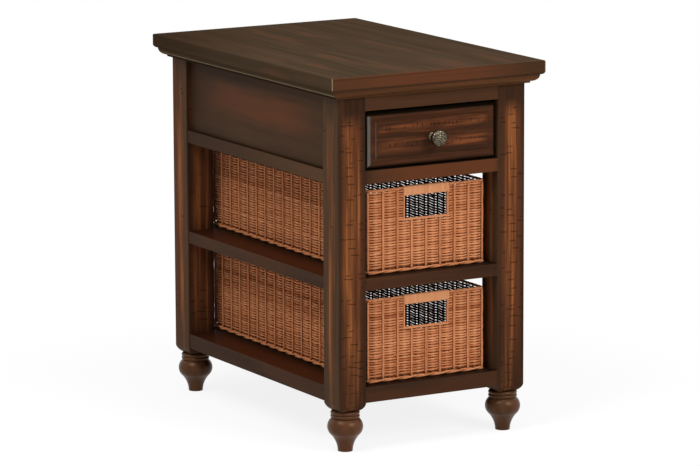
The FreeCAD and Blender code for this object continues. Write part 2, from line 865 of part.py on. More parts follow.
def make_knob():
    """A mushroom knob turned about its screw: foot, neck, rim, rounded edge and shallow cone."""
    body = new_body("drawer_knob", 0, face_y - d.field_rise - d.rosette_thickness, deck_top + knob_height)
    reach = d.knob_projection - d.rosette_thickness
    rim = d.knob_rim_height
    neck_y = rim * KNOB_NECK_SHARE
    edge_low = rim + d.knob_rim_thickness
    inside = d.knob_edge_radius * QUARTER_ROUND_SHARE
    via = (d.knob_radius - inside, -edge_low - d.knob_edge_radius + inside)
    profile = [
        (0, 0),
        (d.knob_foot_radius, 0, (d.knob_neck_radius, -neck_y)),
        (d.knob_radius, -rim),
        (d.knob_radius, -edge_low, via),
        (d.knob_radius - d.knob_edge_radius, -edge_low - d.knob_edge_radius),
        (0, -reach),
    ]
    revolve(body, sketch_on(body, "XY", [profile]))
    depth = d.knob_screw_depth + d.overrun * 2
    bore(body, d.knob_screw_radius + d.fit_clearance, depth, (0, d.overrun, 0), -Y_AXIS)
    return body


def make_rosette():
    """The small domed base between knob and drawer front."""
    body = new_body("knob_rosette", 0, face_y - d.field_rise, deck_top + knob_height)
    inner = d.knob_screw_radius + d.fit_clearance
    inside = d.rosette_thickness * QUARTER_ROUND_SHARE
    via = (d.rosette_radius - inside, inside - d.rosette_thickness)
    profile = [
        (inner, 0),
        (d.rosette_radius, 0, via),
        (d.rosette_radius - d.rosette_thickness, -d.rosette_thickness),
        (inner, -d.rosette_thickness),
    ]
    revolve(body, sketch_on(body, "XY", [profile]))
    return body


def make_runner():
    """The rail on the deck that guides the drawer and stops its front."""
    front = face_y + d.drawer_front_thickness + d.runner_front_gap
    back = panel_outer_y - d.panel_thickness
    middle = (front + back) / 2
    body = board("center_runner", d.runner_width, back - front, d.runner_height, 0, middle, deck_top)
    for row in (-1, 1):
        y = runner_screw_y(row) - middle
        bore(body, screw_hole_radius, d.runner_height + d.overrun * 2, (0, y, -d.overrun))
        start = (0, y, d.runner_height - runner_screw_sink)
        bore(body, screw_head_hole_radius, runner_screw_sink + d.overrun, start)
    return body


def runner_screw_y(row):
    return d.case_depth * RUNNER_SCREW_SHARE * row


def make_drawer():
    nodes.append(make_drawer_front())
    nodes.append(make_drawer_side("drawer_left_side", -1))
    nodes.append(make_drawer_side("drawer_right_side", 1))
    nodes.append(make_drawer_back())
    nodes.append(make_drawer_bottom())
    nodes.append(make_drawer_guides())
    nodes.append(make_knob())
    nodes.append(make_rosette())
    shank = d.drawer_front_thickness + d.field_rise + d.rosette_thickness + d.knob_screw_depth
    place = (0, face_y + d.drawer_front_thickness, deck_top + knob_height)
    nodes.append(make_screw("knob_screw", d.knob_screw_radius, shank, d.knob_screw_radius, place, -Y_AXIS))
    nodes.append(make_runner())
    screws = []
    for row in (-1, 1):
        place = (0, runner_screw_y(row), deck_top + d.runner_height - runner_screw_sink)
        screws.append(make_wood_screw("runner_screw", d.runner_screw_length, place, -Z_AXIS))
    nodes.append(group("runner_screws", screws))


# Baskets, each drawn from the middle of its underside

basket_width = (inner_x - d.basket_side_gap) * 2
basket_length = d.case_depth - d.basket_setback - d.basket_back_gap
basket_height = bay_heights * (1 - LOWER_BAY_SHARE) - d.basket_top_gap


def weave_row(body, along_x, half_run, half_across, bays, low, height):
    """The outsides of two opposite walls: in each bay the weave swells out between two half stakes."""
    pitch = (half_run - d.stake_inset) * 2 / bays
    middle = d.stake_inset - half_run + pitch / 2
    reach = pitch / 2 - d.stake_width / 2
    valley = half_across - d.weave_valley
    root = valley - d.overrun
    crest = half_across - d.weave_crest
    outlines = []
    for end in (-1, 1):

        def spot(run, across):
            return (middle + run, end * across) if along_x else (end * across, middle + run)

        outlines.append(
            [
                spot(-pitch / 2, root),
                spot(-pitch / 2, half_across),
                spot(-reach, half_across),
                (*spot(-reach, valley), spot(as_size(0), crest)),
                spot(reach, valley),
                spot(reach, half_across),
                spot(pitch / 2, half_across),
                spot(pitch / 2, root),
            ]
        )
    sketch = sketch_on(body, "XY", outlines, low)
    bay = pad(body, sketch, height)
    row = body.newObject("PartDesign::LinearPattern", f"{body.Label}_row")
    row.Originals = [bay]
    row.Direction = (sketch, ["H_Axis" if along_x else "V_Axis"])
    row.Occurrences = bays
    row.setExpression("Length", (pitch * (bays - 1)).formula)
    body.Tip = row


def make_basket(name, shelf_top):
    """A woven basket: swelling walls with two handle holes, base, border, rim and wrapped grips on it."""
    middle_y = -half_depth + d.basket_setback + basket_length / 2
    bottom = shelf_top + d.seat_clearance
    half_x = basket_width / 2
    half_y = basket_length / 2
    corner = d.basket_corner_radius
    rim_top = basket_height - d.wrap_thickness
    rim_low = rim_top - d.rim_height
    grip_low = basket_height - d.grip_height
    hole_low = grip_low - d.hole_height

    def part(piece):
        return new_body(f"{name}_{piece}", 0, middle_y, bottom)

    def ring(body, proud, low, height):
        outer = rounded_rectangle(half_x + proud, half_y + proud, corner + proud)
        inner_half = half_x - d.basket_wall
        inner = rounded_rectangle(inner_half, half_y - d.basket_wall, corner - d.basket_wall)
        pad(body, sketch_on(body, "XY", [outer, inner], low), height)

    walls = part("walls")
    wall_height = rim_low - d.border_height
    ring(walls, -d.weave_valley, d.border_height, wall_height)
    weave_row(walls, True, half_x, half_y, FRONT_WEAVE_BAYS, d.border_height, wall_height)
    weave_row(walls, False, half_y, half_x, SIDE_WEAVE_BAYS, d.border_height, wall_height)
    slack = d.fit_clearance
    notch = [
        (-d.hole_width / 2, hole_low),
        (d.hole_width / 2, hole_low),
        (d.hole_width / 2, grip_low - slack),
        (d.grip_width / 2 + slack, grip_low - slack),
        (d.grip_width / 2 + slack, rim_low + d.overrun),
        (-d.grip_width / 2 - slack, rim_low + d.overrun),
        (-d.grip_width / 2 - slack, grip_low - slack),
        (-d.hole_width / 2, grip_low - slack),
    ]
    pocket(walls, sketch_on(walls, "XZ", [notch]), basket_length * 2, symmetric=True)
    nodes.append(walls)

    base = part("base")
    inside_x = half_x - d.basket_wall
    inside_y = half_y - d.basket_wall
    plate = rounded_rectangle(inside_x, inside_y, corner - d.basket_wall)
    pad(base, sketch_on(base, "XY", [plate], d.basket_base_height), d.basket_base_thickness)
    nodes.append(base)

    def outer_edge(edge):
        spread = edge.BoundBox
        on_side = near(abs(edge.CenterOfMass.x), half_x + d.border_proud)
        on_end = near(abs(edge.CenterOfMass.y), half_y + d.border_proud)
        return spread.ZLength < TOUCH and (on_side or on_end)

    border = part("base_border")
    ring(border, d.border_proud, as_size(0), d.border_height)
    round_edges(border, d.border_radius, outer_edge)
    nodes.append(border)

    def rim_edge(edge):
        on_side = near(abs(edge.CenterOfMass.x), half_x)
        on_end = near(abs(edge.CenterOfMass.y), half_y)
        return edge.BoundBox.ZLength < TOUCH and (on_side or on_end)

    rim = part("rim")
    ring(rim, as_size(0), rim_low, d.rim_height)
    round_edges(rim, d.rim_radius, rim_edge)
    nodes.append(rim)

    grips = []
    for place, end in (("front", -1), ("rear", 1)):
        grip = part(f"{place}_grip")
        outer_y = half_y + d.wrap_thickness
        inner_y = half_y - d.basket_wall - d.wrap_thickness
        low_y, high_y = sorted_sizes(end * inner_y, end * outer_y)
        outline = rectangle(-d.grip_width / 2, low_y, d.grip_width / 2, high_y)
        pad(grip, sketch_on(grip, "XY", [outline], grip_low), d.grip_height)
        round_edges(grip, d.wrap_thickness, lambda edge: along(edge, X_AXIS))
        channel_low, channel_high = sorted_sizes(
            end * (half_y - d.basket_wall - slack), end * (half_y + slack)
        )
        slot(
            grip,
            (-d.grip_width, channel_low, rim_low - slack),
            (d.grip_width, channel_high, rim_top + slack),
        )
        grips.append(grip)
    nodes.append(group(f"{name}_grips", grips))


def check_and_write():
    """Stops on any failed feature, then writes one file for each node."""
    doc.recompute()
    failed = [item.Label for item in doc.Objects if {"Invalid", "Error"} & set(item.State)]
    failed += [node.Label for node in nodes if node.Shape.isNull() or not node.Shape.isValid()]
    if failed:
        raise RuntimeError("failed: " + ", ".join(failed))
    os.makedirs("parts", exist_ok=True)
    for node in nodes:
        node.Shape.exportStep(f"parts/{node.Label}.step")


make_case()
make_drawer()
make_basket("upper_basket", middle_shelf_top)
make_basket("lower_basket", bottom_shelf_top)
check_and_write()
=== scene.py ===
"""Looks for the chairside table: stained wood, woven baskets, hammered knob, light and camera.

Lengths are in metres, in the table's own frame.
"""

import json
import math

import bpy
import numpy as np
from mathutils import Matrix, Vector


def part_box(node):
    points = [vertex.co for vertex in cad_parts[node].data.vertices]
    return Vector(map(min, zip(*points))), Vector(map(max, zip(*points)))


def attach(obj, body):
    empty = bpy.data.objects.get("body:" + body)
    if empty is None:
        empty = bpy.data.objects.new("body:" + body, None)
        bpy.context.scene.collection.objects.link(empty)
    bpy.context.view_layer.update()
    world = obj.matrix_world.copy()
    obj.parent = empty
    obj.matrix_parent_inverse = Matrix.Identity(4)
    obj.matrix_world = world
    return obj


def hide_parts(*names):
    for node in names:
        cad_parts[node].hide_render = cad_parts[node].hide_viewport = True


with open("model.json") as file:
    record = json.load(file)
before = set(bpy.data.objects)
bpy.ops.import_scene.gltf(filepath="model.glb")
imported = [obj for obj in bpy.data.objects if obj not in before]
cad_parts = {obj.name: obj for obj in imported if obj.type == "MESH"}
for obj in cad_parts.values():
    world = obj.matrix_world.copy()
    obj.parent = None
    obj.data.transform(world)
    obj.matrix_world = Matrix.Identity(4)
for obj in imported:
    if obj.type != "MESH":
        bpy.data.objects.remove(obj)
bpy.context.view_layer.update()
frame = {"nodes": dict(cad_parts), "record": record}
NODES = frame["nodes"]
AXES = "xyz"


def add_object(name, data):
    made = bpy.data.objects.new(name, data)
    bpy.context.scene.collection.objects.link(made)
    return made


def srgb(red, green, blue):
    """A colour written in display values from 0 to 255, as the linear colour that a shader takes."""
    linear = []
    for value in (red, green, blue):
        share = value / 255
        linear.append(share / 12.92 if share <= 0.04045 else ((share + 0.055) / 1.055) ** 2.4)
    return (*linear, 1.0)


# Shader helpers

SHEEN_TINT = srgb(255, 216, 180)
LOOKS_ALONG = 0.7
CELL_RANDOMNESS = 0.85


class Shader:
    """The nodes of one material or world. Each method adds nodes and returns what they give."""

    def __init__(self, name, kind="materials"):
        self.block = getattr(bpy.data, kind).new(name)
        self.block.use_nodes = True
        self.tree = self.block.node_tree
        self.tree.nodes.clear()

    def node(self, kind, inputs=(), **settings):
        made = self.tree.nodes.new(kind)
        for name, value in settings.items():
            setattr(made, name, value)
        for key, value in dict(inputs).items():
            if isinstance(value, bpy.types.NodeSocket):
                self.tree.links.new(value, made.inputs[key])
            else:
                made.inputs[key].default_value = value
        return made

    def place(self):
        """The point being shaded, in the table's own frame."""
        return self.node("ShaderNodeTexCoord").outputs["Object"]

    def facing(self):
        """The direction that the surface faces, as its three parts."""
        return self.split(self.node("ShaderNodeTexCoord").outputs["Normal"])

    def split(self, vector):
        return self.node("ShaderNodeSeparateXYZ", {0: vector}).outputs[:]

    def stretch(self, vector, factors):
        keys = {0: vector, 1: factors}
        return self.node("ShaderNodeVectorMath", keys, operation="MULTIPLY").outputs[0]

    def looks_along(self, axis):
        """1 on the faces that look along x, y or z either way, and 0 elsewhere."""
        part = self.math("ABSOLUTE", self.facing()[AXES.index(axis)])
        return self.math("GREATER_THAN", part, LOOKS_ALONG)

    def turned_at_ends(self, place):
        """The same point with x and y swapped on faces that look to the front or the back."""
        x, y, z = self.split(place)
        swapped = self.node("ShaderNodeCombineXYZ", {0: y, 1: x, 2: z}).outputs[0]
        keys = {0: self.looks_along("y"), 4: place, 5: swapped}
        return self.node("ShaderNodeMix", keys, data_type="VECTOR").outputs[1]

    def math(self, operation, *values):
        return self.node("ShaderNodeMath", enumerate(values), operation=operation).outputs[0]

    def ease(self, value, low, high, start=0.0, end=1.0):
        """A smooth step from start at low to end at high."""
        keys = {"Value": value, "From Min": low, "From Max": high, "To Min": start, "To Max": end}
        return self.node("ShaderNodeMapRange", keys, interpolation_type="SMOOTHSTEP").outputs[0]

    def near(self, value, reach, soft):
        """1 where value lies within reach of zero, fading to 0 over soft."""
        beyond = self.math("SUBTRACT", self.math("ABSOLUTE", value), reach)
        return self.ease(beyond, 0.0, soft, 1.0, 0.0)

    def noise(self, vector, detail=2.0, roughness=0.5, scale=1.0):
        keys = {"Vector": vector, "Scale": scale, "Detail": detail, "Roughness": roughness}
        return self.node("ShaderNodeTexNoise", keys).outputs[0]

    def cells(self, across, along, width, height):
        """Offsets from the spot of a random cell of that size, and the cell's two random numbers."""
        keys = {0: self.math("DIVIDE", across, width), 1: self.math("DIVIDE", along, height)}
        vector = self.node("ShaderNodeCombineXYZ", keys).outputs[0]
        keys = {"Vector": vector, "Scale": 1.0, "Randomness": CELL_RANDOMNESS}
        made = self.node("ShaderNodeTexVoronoi", keys, voronoi_dimensions="2D")
        keys = {0: vector, 1: made.outputs["Position"]}
        from_spot = self.node("ShaderNodeVectorMath", keys, operation="SUBTRACT").outputs[0]
        du, dv, _ = self.split(from_spot)
        first, second, _ = self.split(made.outputs["Color"])
        return self.math("MULTIPLY", du, width), self.math("MULTIPLY", dv, height), first, second

    def seen(self):
        """1 for rays that show the surroundings: from the camera, mirrored and through glass."""
        path = self.node("ShaderNodeLightPath").outputs
        seen = self.math("MAXIMUM", path["Is Camera Ray"], path["Is Glossy Ray"])
        return self.math("MAXIMUM", seen, path["Is Transmission Ray"])

    def choose(self, share, first, second):
        """A number between first, at share 0, and second, at share 1."""
        keys = {0: share, 2: first, 3: second}
        return self.node("ShaderNodeMix", keys, data_type="FLOAT").outputs[0]

    def mix(self, share, first, second):
        """A colour between first, at share 0, and second, at share 1."""
        keys = {0: share, 6: first, 7: second}
        return self.node("ShaderNodeMix", keys, data_type="RGBA").outputs[2]

    def finish(self, colour, roughness, height=None, depth=0.0, specular=0.5, metallic=0.0):
        keys = {
            "Base Color": colour,
            "Roughness": roughness,
            "Specular IOR Level": specular,
            "Metallic": metallic,
        }
        if not metallic:
            keys["Specular Tint"] = SHEEN_TINT
        if height is not None:
            relief = {"Height": height, "Distance": depth, "Strength": 1.0}
            keys["Normal"] = self.node("ShaderNodeBump", relief).outputs[0]
        surface = self.node("ShaderNodeBsdfPrincipled", keys)
        self.node("ShaderNodeOutputMaterial", {"Surface": surface.outputs[0]})
        return self.block


# Wood

DARK = srgb(40, 26, 17)
BROWN = srgb(60, 38, 25)
RED = srgb(84, 47, 29)
WARM = srgb(104, 58, 30)
ORANGE = srgb(140, 85, 46)
MARK = srgb(20, 12, 7)
SHEEN = 0.02
WOOD_ROUGHNESS = 0.4
WOOD_RELIEF = 0.0002
GRAIN_RELIEF = 0.5
SCAR_SHARE = 0.6

# Values of the streaks over which one colour gives way to the next
SOFT = (0.32, 0.68)
CRISP = (0.34, 0.66)
FINE = (0.38, 0.62)

# Grain, as how many waves it has in a metre across it and along it
POST_GRAIN = (46, 2.0)
QUIET_GRAIN = (26, 1.6)
DRAWER_GRAIN = (60, 3.0)
TOP_GRAIN = (30, 1.4)
ZONE_GRAIN = (20, 4)
FINER = (4, 3)
FINE_SHARE = 0.4


def along_grain(shader, place, axis, across, along):
    """Stretches space so that a pattern is fine across the grain and long along it."""
    factors = [across] * 3
    factors[AXES.index(axis)] = along
    return shader.stretch(place, factors)


def blend(shader, first, second, share):
    """A weighted sum of two numbers."""
    rest = shader.math("MULTIPLY", first, 1 - share)
    return shader.math("MULTIPLY_ADD", second, share, rest)


def times(shader, *shares):
    """The product of several shares."""
    product = shares[0]
    for share in shares[1:]:
        product = shader.math("MULTIPLY", product, share)
    return product


def grain(shader, place, axis, across, along):
    """Streaks of the wood, and the fine ones among them."""
    broad = shader.noise(along_grain(shader, place, axis, across, along), 3.0, 0.55)
    finer = along_grain(shader, place, axis, across * FINER[0], along * FINER[1])
    fine = shader.noise(finer, 3.0, 0.6)
    return blend(shader, broad, fine, FINE_SHARE), fine


def finish_wood(shader, colour, fine, scars=None, roughness=WOOD_ROUGHNESS, specular=SHEEN):
    height = shader.math("MULTIPLY", fine, GRAIN_RELIEF)
    if scars is not None:
        colour = shader.mix(shader.math("MULTIPLY", scars, SCAR_SHARE), colour, MARK)
        height = shader.math("SUBTRACT", height, scars)
    return shader.finish(colour, roughness, height, WOOD_RELIEF, specular)


ZONE = (0.44, 0.66)


def soft_wood(name, axis, dark, brown, red=0.5, ends=False, change=None, **look):
    """Stained wood of quiet grain with soft reddish zones.

    With ends, the faces at the front and the back have their grain from side to side. change is a
    function that gives some faces another colour. look is passed on to finish_wood.
    """
    shader = Shader(name)
    place = shader.place()
    space = shader.turned_at_ends(place) if ends else place
    streak, fine = grain(shader, space, axis, *QUIET_GRAIN)
    colour = shader.mix(shader.ease(streak, *SOFT), dark, brown)
    zone = shader.noise(along_grain(shader, space, axis, *ZONE_GRAIN), 1.0)
    colour = shader.mix(shader.ease(zone, *ZONE, 0.0, red), colour, RED)
    if change is not None:
        colour = change(shader, place, colour)
    return finish_wood(shader, colour, fine, **look)


SHELF_TOP = srgb(57, 26, 12)
# Painted shade on a shelf's upper face, beside its basket and toward the back
SHELF_SHADE = srgb(22, 13, 8)
BASKET_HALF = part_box("upper_basket_base_border")[1].x
SHELF_SHADE_BESIDE = (BASKET_HALF + 0.004, BASKET_HALF + 0.032)
SHELF_SHADE_BEHIND = (0.12, 0.27)


def shelf_top(shader, place, colour):
    """A shelf is reddish above, with painted shade beside its basket and toward the back."""
    x, y, _ = shader.split(place)
    beside = shader.ease(shader.math("ABSOLUTE", x), *SHELF_SHADE_BESIDE, 0.9, 0.0)
    behind = shader.ease(y, *SHELF_SHADE_BEHIND, 0.0, 0.7)
    top = shader.mix(shader.math("MAXIMUM", beside, behind), SHELF_TOP, SHELF_SHADE)
    return shader.mix(shader.looks_along("z"), colour, top)


# Painted shade for the deck's faces above and below, as in the side panels' recess
DECK_TOP_SHADE = srgb(30, 20, 12)
DECK_FRONT = srgb(81, 46, 27)
DECK_SIDE = srgb(79, 56, 36)
DECK_RED_LEFT = (-0.135, -0.02)
DECK_RED_RIGHT = (0.118, 0.136)
DECK_SHADE_LEFT = (-0.14, -0.1)
DECK_DARK_BEHIND = (0.0, 0.28)
DECK_LIGHT_BEFORE = (-0.28, 0.16)


def deck_faces(shader, place, colour):
    """The deck has painted shade above and beside the posts at the front, is reddish in mid front,
    and is lighter toward the front at its sides.
    """
    x, y, _ = shader.split(place)
    # The red ends sharply by the right post, as painted shade there.
    middle = times(
        shader, shader.ease(x, *DECK_RED_LEFT), shader.ease(x, *DECK_RED_RIGHT, 1.0, 0.0)
    )
    # Painted shade toward the left post.
    front = shader.mix(shader.ease(x, *DECK_SHADE_LEFT, 0.8, 0.0), colour, DARK)
    front = shader.mix(middle, front, DECK_FRONT)
    side = shader.mix(shader.ease(y, *DECK_DARK_BEHIND, 0.0, 0.5), colour, DARK)
    side = shader.mix(shader.ease(y, *DECK_LIGHT_BEFORE, 0.75, 0.0), side, DECK_SIDE)
    edge = shader.mix(shader.looks_along("y"), side, front)
    # Painted shade on the faces above and below.
    return shader.mix(shader.looks_along("z"), edge, DECK_TOP_SHADE)


# What is eased over this span differs from post to post, but not within one.
BETWEEN_POSTS = (-0.1, 0.1)
POST_LOW, POST_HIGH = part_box("rear_right_post")
POST_MIDDLE = (POST_LOW + POST_HIGH) / 2
POST_SIDE_DARK = srgb(56, 41, 28)
POST_SIDE_BROWN = srgb(72, 51, 35)
POST_SIDE_OUTER = (-0.011, 0.001)
POST_SIDE_FOOT = (0.08, 0.17)
POST_SWAY = 0.016
POST_SWAY_GRAIN = (9, 9, 6)
POST_PATCH_GRAIN = (30, 30, 7)
POST_PATCH = (0.3, 0.6)
POST_STREAK = (0.34, 0.6)
WORN_TOP = (0.535, 0.575)
WORN_LEFT_TOP = (0.4, 0.56)
WORN_FOOT = (0.085, 0.22)
WORN_WIDE = (0.0035, 0.011)
WORN_WIDE_ASIDE = (0.004, -0.002)
WORN_THIN = (0.0005, 0.004)
WORN_THIN_ASIDE = 0.011
WORN_RED = (0.012, 0.011)
WORN_RED_STREAK = (0.3, 0.65)
SCAR_CELL = (0.024, 0.0135)
SCAR_SLANT = 0.3
SCAR_HALF = 0.0015
SCAR_HALF_MORE = 0.006
SCAR_END = 0.0025
SCAR_THICK = (0.0004, 0.0012)
SCAR_REACH = (0.019, 0.005)
SCAR_WORN = (0.1, 0.5)
SCARS_LEFT_OUT_AT_SIDES = 0.86
SCARS_LEFT_OUT = (-0.01, 0.01, 0.66, 0.24)


def post_wood():
    """Posts worn down the middle of each face, with saw scars across the worn part.

    front is 1 on the faces at the front and the back of a post, and 0 on its sides.
    """
    shader = Shader("post_wood")
    place = shader.place()
    x, y, z = shader.split(place)
    front = shader.looks_along("y")
    from_x = shader.math("SUBTRACT", shader.math("ABSOLUTE", x), POST_MIDDLE.x)
    from_y = shader.math("SUBTRACT", shader.math("ABSOLUTE", y), POST_MIDDLE.y)
    streak, fine = grain(shader, place, "z", *POST_GRAIN)
    crisp = shader.ease(streak, *CRISP)
    warm = times(
        shader,
        shader.ease(y, *BETWEEN_POSTS, 0.0, 0.8),
        shader.ease(from_y, *POST_SIDE_OUTER, 0.12, 1.0),
        shader.ease(z, *POST_SIDE_FOOT, 0.3, 1.0),
    )
    side = shader.mix(crisp, POST_SIDE_DARK, POST_SIDE_BROWN)
    side = shader.mix(warm, side, shader.mix(crisp, BROWN, RED))
    stain = shader.mix(front, side, shader.mix(crisp, DARK, BROWN))

    sway = shader.noise(shader.stretch(place, POST_SWAY_GRAIN))
    straight = shader.choose(front, from_y, from_x)
    wander = shader.math("MULTIPLY_ADD", sway, POST_SWAY, -POST_SWAY / 2)
    offset = shader.math("ADD", straight, wander)
    aside = shader.math("MULTIPLY", front, shader.ease(x, *BETWEEN_POSTS, *WORN_WIDE_ASIDE))
    wide = shader.near(shader.math("SUBTRACT", offset, aside), *WORN_WIDE)
    wide = shader.math("MULTIPLY", wide, shader.choose(front, 0.9, 1.0))
    thin = shader.near(shader.math("ADD", offset, WORN_THIN_ASIDE), *WORN_THIN)
    thin = times(shader, thin, front, shader.ease(x, *BETWEEN_POSTS, 1.0, 0.25))
    length = times(
        shader, shader.ease(z, *WORN_TOP, 1.0, 0.0), shader.ease(z, *WORN_FOOT, 0.3, 1.0)
    )
    patch = shader.noise(shader.stretch(place, POST_PATCH_GRAIN))
    left_top = shader.ease(z, *WORN_LEFT_TOP, 1.0, 0.6)
    worn = times(
        shader,
        shader.math("MAXIMUM", wide, thin),
        length,
        shader.ease(patch, *POST_PATCH, 0.45, 1.0),
        shader.ease(streak, *POST_STREAK, 0.35, 1.0),
        # Wear is cut to 0.6 on the rear posts' front and back faces, which partly paints the shade
        # inside the bays.
        shader.choose(front, 1.0, shader.ease(y, *BETWEEN_POSTS, 1.0, 0.6)),
        shader.math("MAXIMUM", left_top, shader.ease(x, *BETWEEN_POSTS)),
    )
    reddish = times(
        shader,
        shader.near(offset, *WORN_RED),
        length,
        front,
        shader.ease(streak, *WORN_RED_STREAK, 0.3, 0.9),
    )
    colour = shader.mix(reddish, stain, RED)
    colour = shader.mix(worn, colour, shader.mix(shader.ease(fine, *FINE), WARM, ORANGE))

    du, dz, chance, other = shader.cells(shader.choose(front, y, x), z, *SCAR_CELL)
    slope = shader.math("MULTIPLY_ADD", other, SCAR_SLANT, -SCAR_SLANT / 2)
    rise = shader.math("ADD", dz, shader.math("MULTIPLY", du, slope))
    left_out = shader.choose(front, SCARS_LEFT_OUT_AT_SIDES, shader.ease(from_y, *SCARS_LEFT_OUT))
    scars = times(
        shader,
        shader.near(du, shader.math("MULTIPLY_ADD", other, SCAR_HALF_MORE, SCAR_HALF), SCAR_END),
        shader.near(rise, *SCAR_THICK),
        shader.math("GREATER_THAN", chance, left_out),
        shader.near(straight, *SCAR_REACH),
        shader.ease(length, *SCAR_WORN),
    )
    return finish_wood(shader, colour, fine, scars)


PANEL_DARK = srgb(54, 37, 24)
PANEL_BROWN = srgb(66, 46, 30)
PANEL_RED = srgb(84, 49, 30)
PANEL_LOW, PANEL_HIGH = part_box("left_side_panel")
PANEL_DARK_FROM = 0.02
PANEL_SWAY = 0.05
PANEL_SWAY_GRAIN = (24, 7)
PANEL_ZONE_HIGH = (0.006, 0.034)
PANEL_ZONE_LONG = (0.08, 0.16)
PANEL_STREAK = (0.3, 0.6)


def panel_wood():
    """The side panels: dark toward the back, with one long reddish zone in the middle."""
    shader = Shader("panel_wood")
    place = shader.place()
    _, y, z = shader.split(place)
    streak, fine = grain(shader, place, "y", *QUIET_GRAIN)
    colour = shader.mix(shader.ease(streak, *SOFT), PANEL_DARK, PANEL_BROWN)
    colour = shader.mix(shader.ease(y, PANEL_DARK_FROM, PANEL_HIGH.y, 0.0, 0.55), colour, DARK)
    sway = shader.noise(along_grain(shader, place, "y", *PANEL_SWAY_GRAIN))
    middle = (PANEL_LOW.z + PANEL_HIGH.z) / 2 - PANEL_SWAY / 2
    height = shader.math("SUBTRACT", z, shader.math("MULTIPLY_ADD", sway, PANEL_SWAY, middle))
    zone = times(
        shader,
        shader.near(height, *PANEL_ZONE_HIGH),
        shader.near(y, *PANEL_ZONE_LONG),
        shader.ease(streak, *PANEL_STREAK, 0.6, 0.9),
    )
    return finish_wood(shader, shader.mix(zone, colour, PANEL_RED), fine)


DRAWER_LOW, DRAWER_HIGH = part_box("drawer_front")
DRAWER_MIDDLE = (DRAWER_LOW + DRAWER_HIGH) / 2
DRAWER_HALF = (DRAWER_HIGH - DRAWER_LOW) / 2
DRAWER_DARK = srgb(48, 29, 19)
DRAWER_BROWN = srgb(74, 43, 27)
DRAWER_WORN = srgb(118, 66, 37)
DRAWER_SWAY = 0.016
DRAWER_SWAY_GRAIN = (9, 1, 50)
DRAWER_PATCH_GRAIN = (13, 1, 34)
DRAWER_PATCH = (0.42, 0.62)
DRAWER_PATCH_STREAKS = 0.4
BAND_HEIGHTS = (0.511, 0.541)
BAND_SIZE = (0.003, 0.008)
BAND_ENDS = (0.018, 0.03)
TICK_CELL = (0.0085, 1.0)
TICK_ROW_APART = 2.7
TICK_LIFT = 0.004
TICK_WIDE = (0.0006, 0.0007)
TICK_HIGH = (0.0022, 0.0014)
TICKS_LEFT_OUT = 0.4
# Painted shade in the recess round the drawer front's moulded edge
DRAWER_EDGE_SHADE = srgb(26, 18, 12)
DRAWER_EDGE_SHADE_WIDE = (0.003, 0.009)
# A painted highlight on the moulding's slopes that face left
DRAWER_SLOPE_HIGHLIGHT = srgb(98, 92, 87)
DRAWER_HIGHLIGHT_TURN = (0.2, 0.55)
DRAWER_HIGHLIGHT_OUTER = (0.01, 0.014)
# Painted shadow along the top of the drawer front and, narrower, down its ends
DRAWER_SHADOW = srgb(12, 7, 4)
DRAWER_SHADOW_HIGH = (0.006, 0.0085)
DRAWER_SHADOW_NARROWER = 2.2
DRAWER_SHADOW_TURN = (0.02, 0.2)


